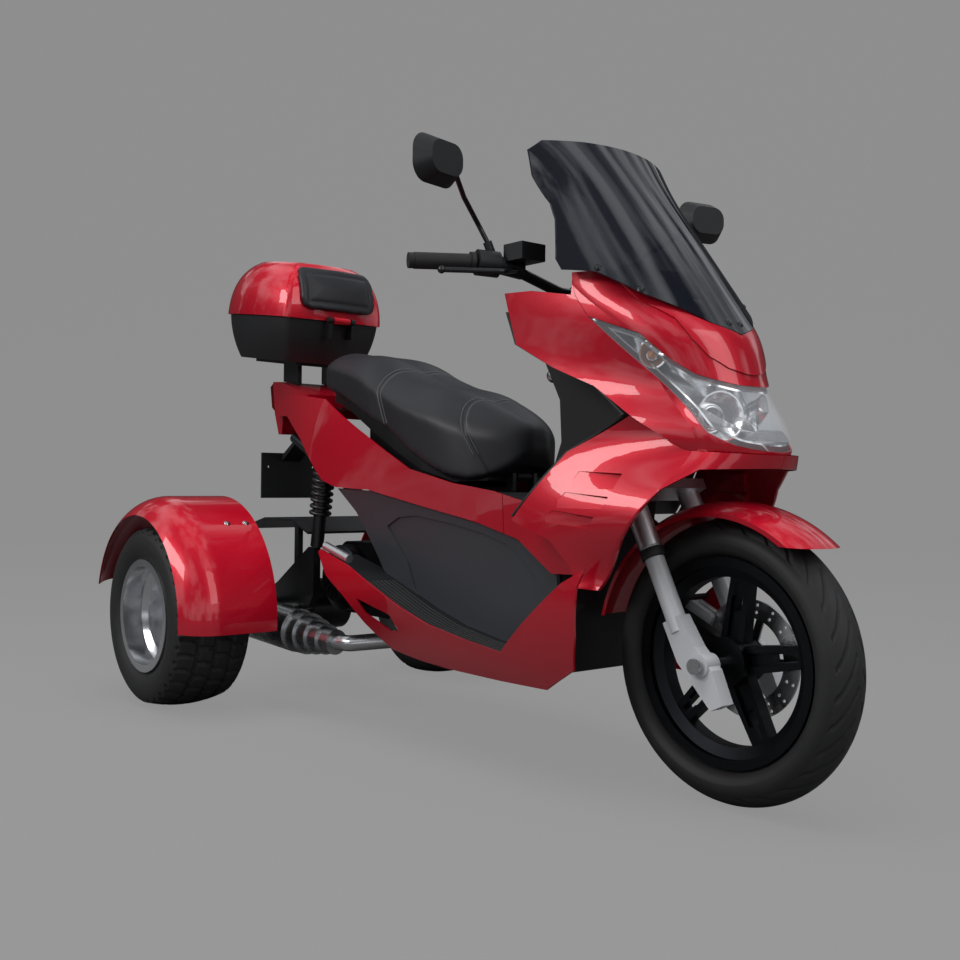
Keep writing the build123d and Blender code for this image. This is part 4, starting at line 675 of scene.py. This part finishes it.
# Columns: station, half-width and height where each screen screw sits, in millimetres
SCREEN_SCREWS = ((-10, 16, 872), (84, 148, 928), (170, 186, 972))
SCREEN_SCREW_RADIUS, FENDER_SCREW_RADIUS = 7.5 * MM, 8.0 * MM
screen_lines = []
for s, half_width, z in SCREEN_SCREWS:
    for side in (-1, 1):
        spot = station(s, side * half_width, z)
        screen_lines.append(laid_on(nodes["windscreen"], spot + Vector((0.3, 0, 0)), spot))
grown("screen_screws", screen_lines, screw_tree, {"Radius": SCREEN_SCREW_RADIUS, "Finish": black_enamel},
      "chassis")

rear_axle_low, rear_axle_high = (Vector(corner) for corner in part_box("rear_axle"))
rear_axle_centre = (rear_axle_low + rear_axle_high) / 2
# Columns: angle round the axle in degrees, half-width in millimetres
FENDER_SCREWS = ((128, 330), (128, 380), (52, 330), (52, 380))
fender_lines = []
for side in (-1, 1):
    for angle, half_width in FENDER_SCREWS:
        turn = math.radians(angle)
        outward = Vector((math.cos(turn), 0, math.sin(turn)))
        aim = Vector((rear_axle_centre.x, side * half_width * MM, rear_axle_centre.z))
        fender_lines.append(laid_on(nodes["rear_fenders"], aim + outward * 0.6, aim))
grown("fender_screws", fender_lines, screw_tree,
      {"Radius": FENDER_SCREW_RADIUS, "Finish": polished_aluminium}, "chassis")

# Floor mats. Ribbed rubber on both footboards: long half-round ribs that follow the board's
# rise, moulded in one with the mat.
rib_tree, given = group_tree("Ribs", (("Radius", "Float"), ("Finish", "Material")))
path = put(rib_tree, "GeometryNodeMeshToCurve", {}, ("Mesh", given["Geometry"]))
ring = put(rib_tree, "GeometryNodeCurvePrimitiveCircle", {}, ("Resolution", 10), ("Radius", given["Radius"]))
tube = put(rib_tree, "GeometryNodeCurveToMesh", {}, ("Curve", path.outputs[0]),
           ("Profile Curve", ring.outputs[0]), ("Fill Caps", True))
end_tree(rib_tree, tube.outputs[0], given["Finish"])
RIB_SPACING_MM, RIB_COUNT, RIB_FIRST_MM = 11.0, 7, 154.0
RIB_RADIUS, RIB_PROUD, ABOVE_FLOOR_MM = 2.4 * MM, 0.6 * MM, 600
MAT_FROM, MAT_TO, MAT_STEP = 396, 880, 22
floor_faces = surface(nodes["floorboards"])
rib_lines = []
for side in (-1, 1):
    for i in range(RIB_COUNT):
        line = []
        for s in range(MAT_FROM, MAT_TO, MAT_STEP):
            above = station(s, side * (RIB_FIRST_MM + i * RIB_SPACING_MM), ABOVE_FLOOR_MM)
            spot = floor_faces.ray_cast(above, Vector((0, 0, -1)))[0]
            if spot:
                line.append(spot + Vector((0, 0, RIB_PROUD)))
        rib_lines.append(line)
grown("floor_ribs", rib_lines, rib_tree, {"Radius": RIB_RADIUS, "Finish": rubber}, "chassis")

# Turned details. Bulb shades and amber lamps in the headlight, dust seals on the fork, a dial
# on the dash and the ignition lock: each is turned about its own axis from a short profile.


def turned(name, profile, places, material, body, segments=40):
    """Round pieces from a (radius, height) profile in millimetres, one at each (base, axis)."""
    verts, faces = [], []
    for base, axis in places:
        up = axis.normalized()
        side = up.orthogonal().normalized()
        front = up.cross(side)
        first = len(verts)
        for radius, height in profile:
            for k in range(segments):
                turn = 2 * math.pi * k / segments
                out = side * math.cos(turn) + front * math.sin(turn)
                verts.append(base + up * height * MM + out * radius * MM)
        for row in range(len(profile) - 1):
            for k in range(segments):
                n = (k + 1) % segments
                low, high = first + row * segments, first + (row + 1) * segments
                faces.append((low + k, low + n, high + n, high + k))
    return piece(name, verts, faces, material, body)


amber = clear_sheet("Amber_acrylic", "#c9782e", 1.5, 0.8)
# Columns: rim's centre as station, half-width and height in millimetres, turn outward in degrees
MAIN_BOWL, INDICATOR_BOWL = (-12, 60, 699, 22), (88, 132, 812, 48)


def bowl_axes(row, back):
    """The base and axis of what stands in a lamp bowl, on the right and on the left."""
    s, half_width, z, outward = row
    places = []
    for side in (-1, 1):
        axis = Vector((math.cos(math.radians(outward)), side * math.sin(math.radians(outward)), 0))
        places.append((station(s, side * half_width, z) - axis * back * MM, axis))
    return places


# Columns of each profile: radius and height in millimetres
SHADE = [(0.1, 0), (16, 0), (16, 3), (13, 5), (13, 24), (11, 29), (6, 32.5), (0.1, 33)]
turned("bulb_shades", SHADE, bowl_axes(MAIN_BOWL, 39), black_enamel, "chassis")
COLLAR = [(16.5, 0), (22, 0), (22, 6), (20, 8), (16.5, 8), (16.5, 0)]
turned("bulb_collars", COLLAR, bowl_axes(MAIN_BOWL, 38), polished_aluminium, "chassis")
GLOBE = [(0.1, 0), (7, 0), (8.5, 6), (8.5, 14), (6, 19), (0.1, 21)]
turned("indicator_bulbs", GLOBE, bowl_axes(INDICATOR_BOWL, 23), amber, "chassis")

RAKE = math.radians(27)
STEER_UP = Vector((-math.sin(RAKE), 0, math.cos(RAKE)))
STEER_OFFSET_MM, FORK_HALF_MM, SEAL_UP_MM = 28, 82, 203
STEER_BASE = FRONT_AXLE + Vector((-STEER_OFFSET_MM * MM, 0, 0))
SEAL = [(18.6, 0), (22.5, 0), (23.5, 4), (23.5, 15), (21, 19), (18.6, 19), (18.6, 0)]
seal_base = STEER_BASE + STEER_UP * SEAL_UP_MM * MM
seal_places = [(seal_base + Vector((0, side * FORK_HALF_MM * MM, 0)), STEER_UP) for side in (-1, 1)]
turned("fork_seals", SEAL, seal_places, rubber, "steering")

DIAL = [(0.1, 6), (44, 6), (44, 14), (50, 14), (52, 0), (0.1, 0)]
DIAL_PLACE = station(300, 0, 917.5)
turned("dash_dial", DIAL, [(DIAL_PLACE, Vector((0, 0, 1)))], black_moulding, "chassis")
LOCK = [(0.1, 22), (4, 22), (4, 24), (11, 24), (14, 20), (15, 0), (0.1, 0)]
LOCK_Y_MM, LOCK_Z_MM, LOCK_SUNK = -60, 805, 2 * MM
lock_foot, lock_tip = laid_on(nodes["inner_shield"], station(700, LOCK_Y_MM, LOCK_Z_MM),
                              station(300, LOCK_Y_MM, LOCK_Z_MM))
turned("ignition_lock", LOCK, [(lock_foot + Vector((LOCK_SUNK, 0, 0)), lock_tip - lock_foot)],
       brushed_steel, "chassis")

# Mirror glass. Silvered plates in both mirror heads, taken from the heads' rear faces, drawn in
# from the edge and set just proud of them.
GLASS_SHARE, GLASS_PROUD = 0.93, 0.8 * MM
glass_verts, glass_faces = [], []
head_mesh = nodes["mirror_heads"].data
head_place = nodes["mirror_heads"].matrix_world
head_turn = head_place.to_3x3()
for side in (-1, 1):
    rear = [face for face in head_mesh.polygons
            if (head_place @ face.center).y * side > 0 and (head_turn @ face.normal).x < -0.9]
    flat = max(rear, key=lambda face: face.area)
    facing = (head_turn @ flat.normal).normalized()
    rear = [face for face in rear if (head_turn @ face.normal).normalized().dot(facing) > 0.999]
    used = sorted({i for face in rear for i in face.vertices})
    corners = [head_place @ head_mesh.vertices[i].co for i in used]
    low = Vector([min(c[k] for c in corners) for k in range(3)])
    high = Vector([max(c[k] for c in corners) for k in range(3)])
    middle = (low + high) / 2
    first = len(glass_verts)
    spot_of = {i: first + k for k, i in enumerate(used)}
    glass_verts += [middle + (c - middle) * GLASS_SHARE + facing * GLASS_PROUD for c in corners]
    glass_faces += [tuple(spot_of[i] for i in face.vertices) for face in rear]
piece("mirror_glass", glass_verts, glass_faces, mirror_plating, "steering", False)
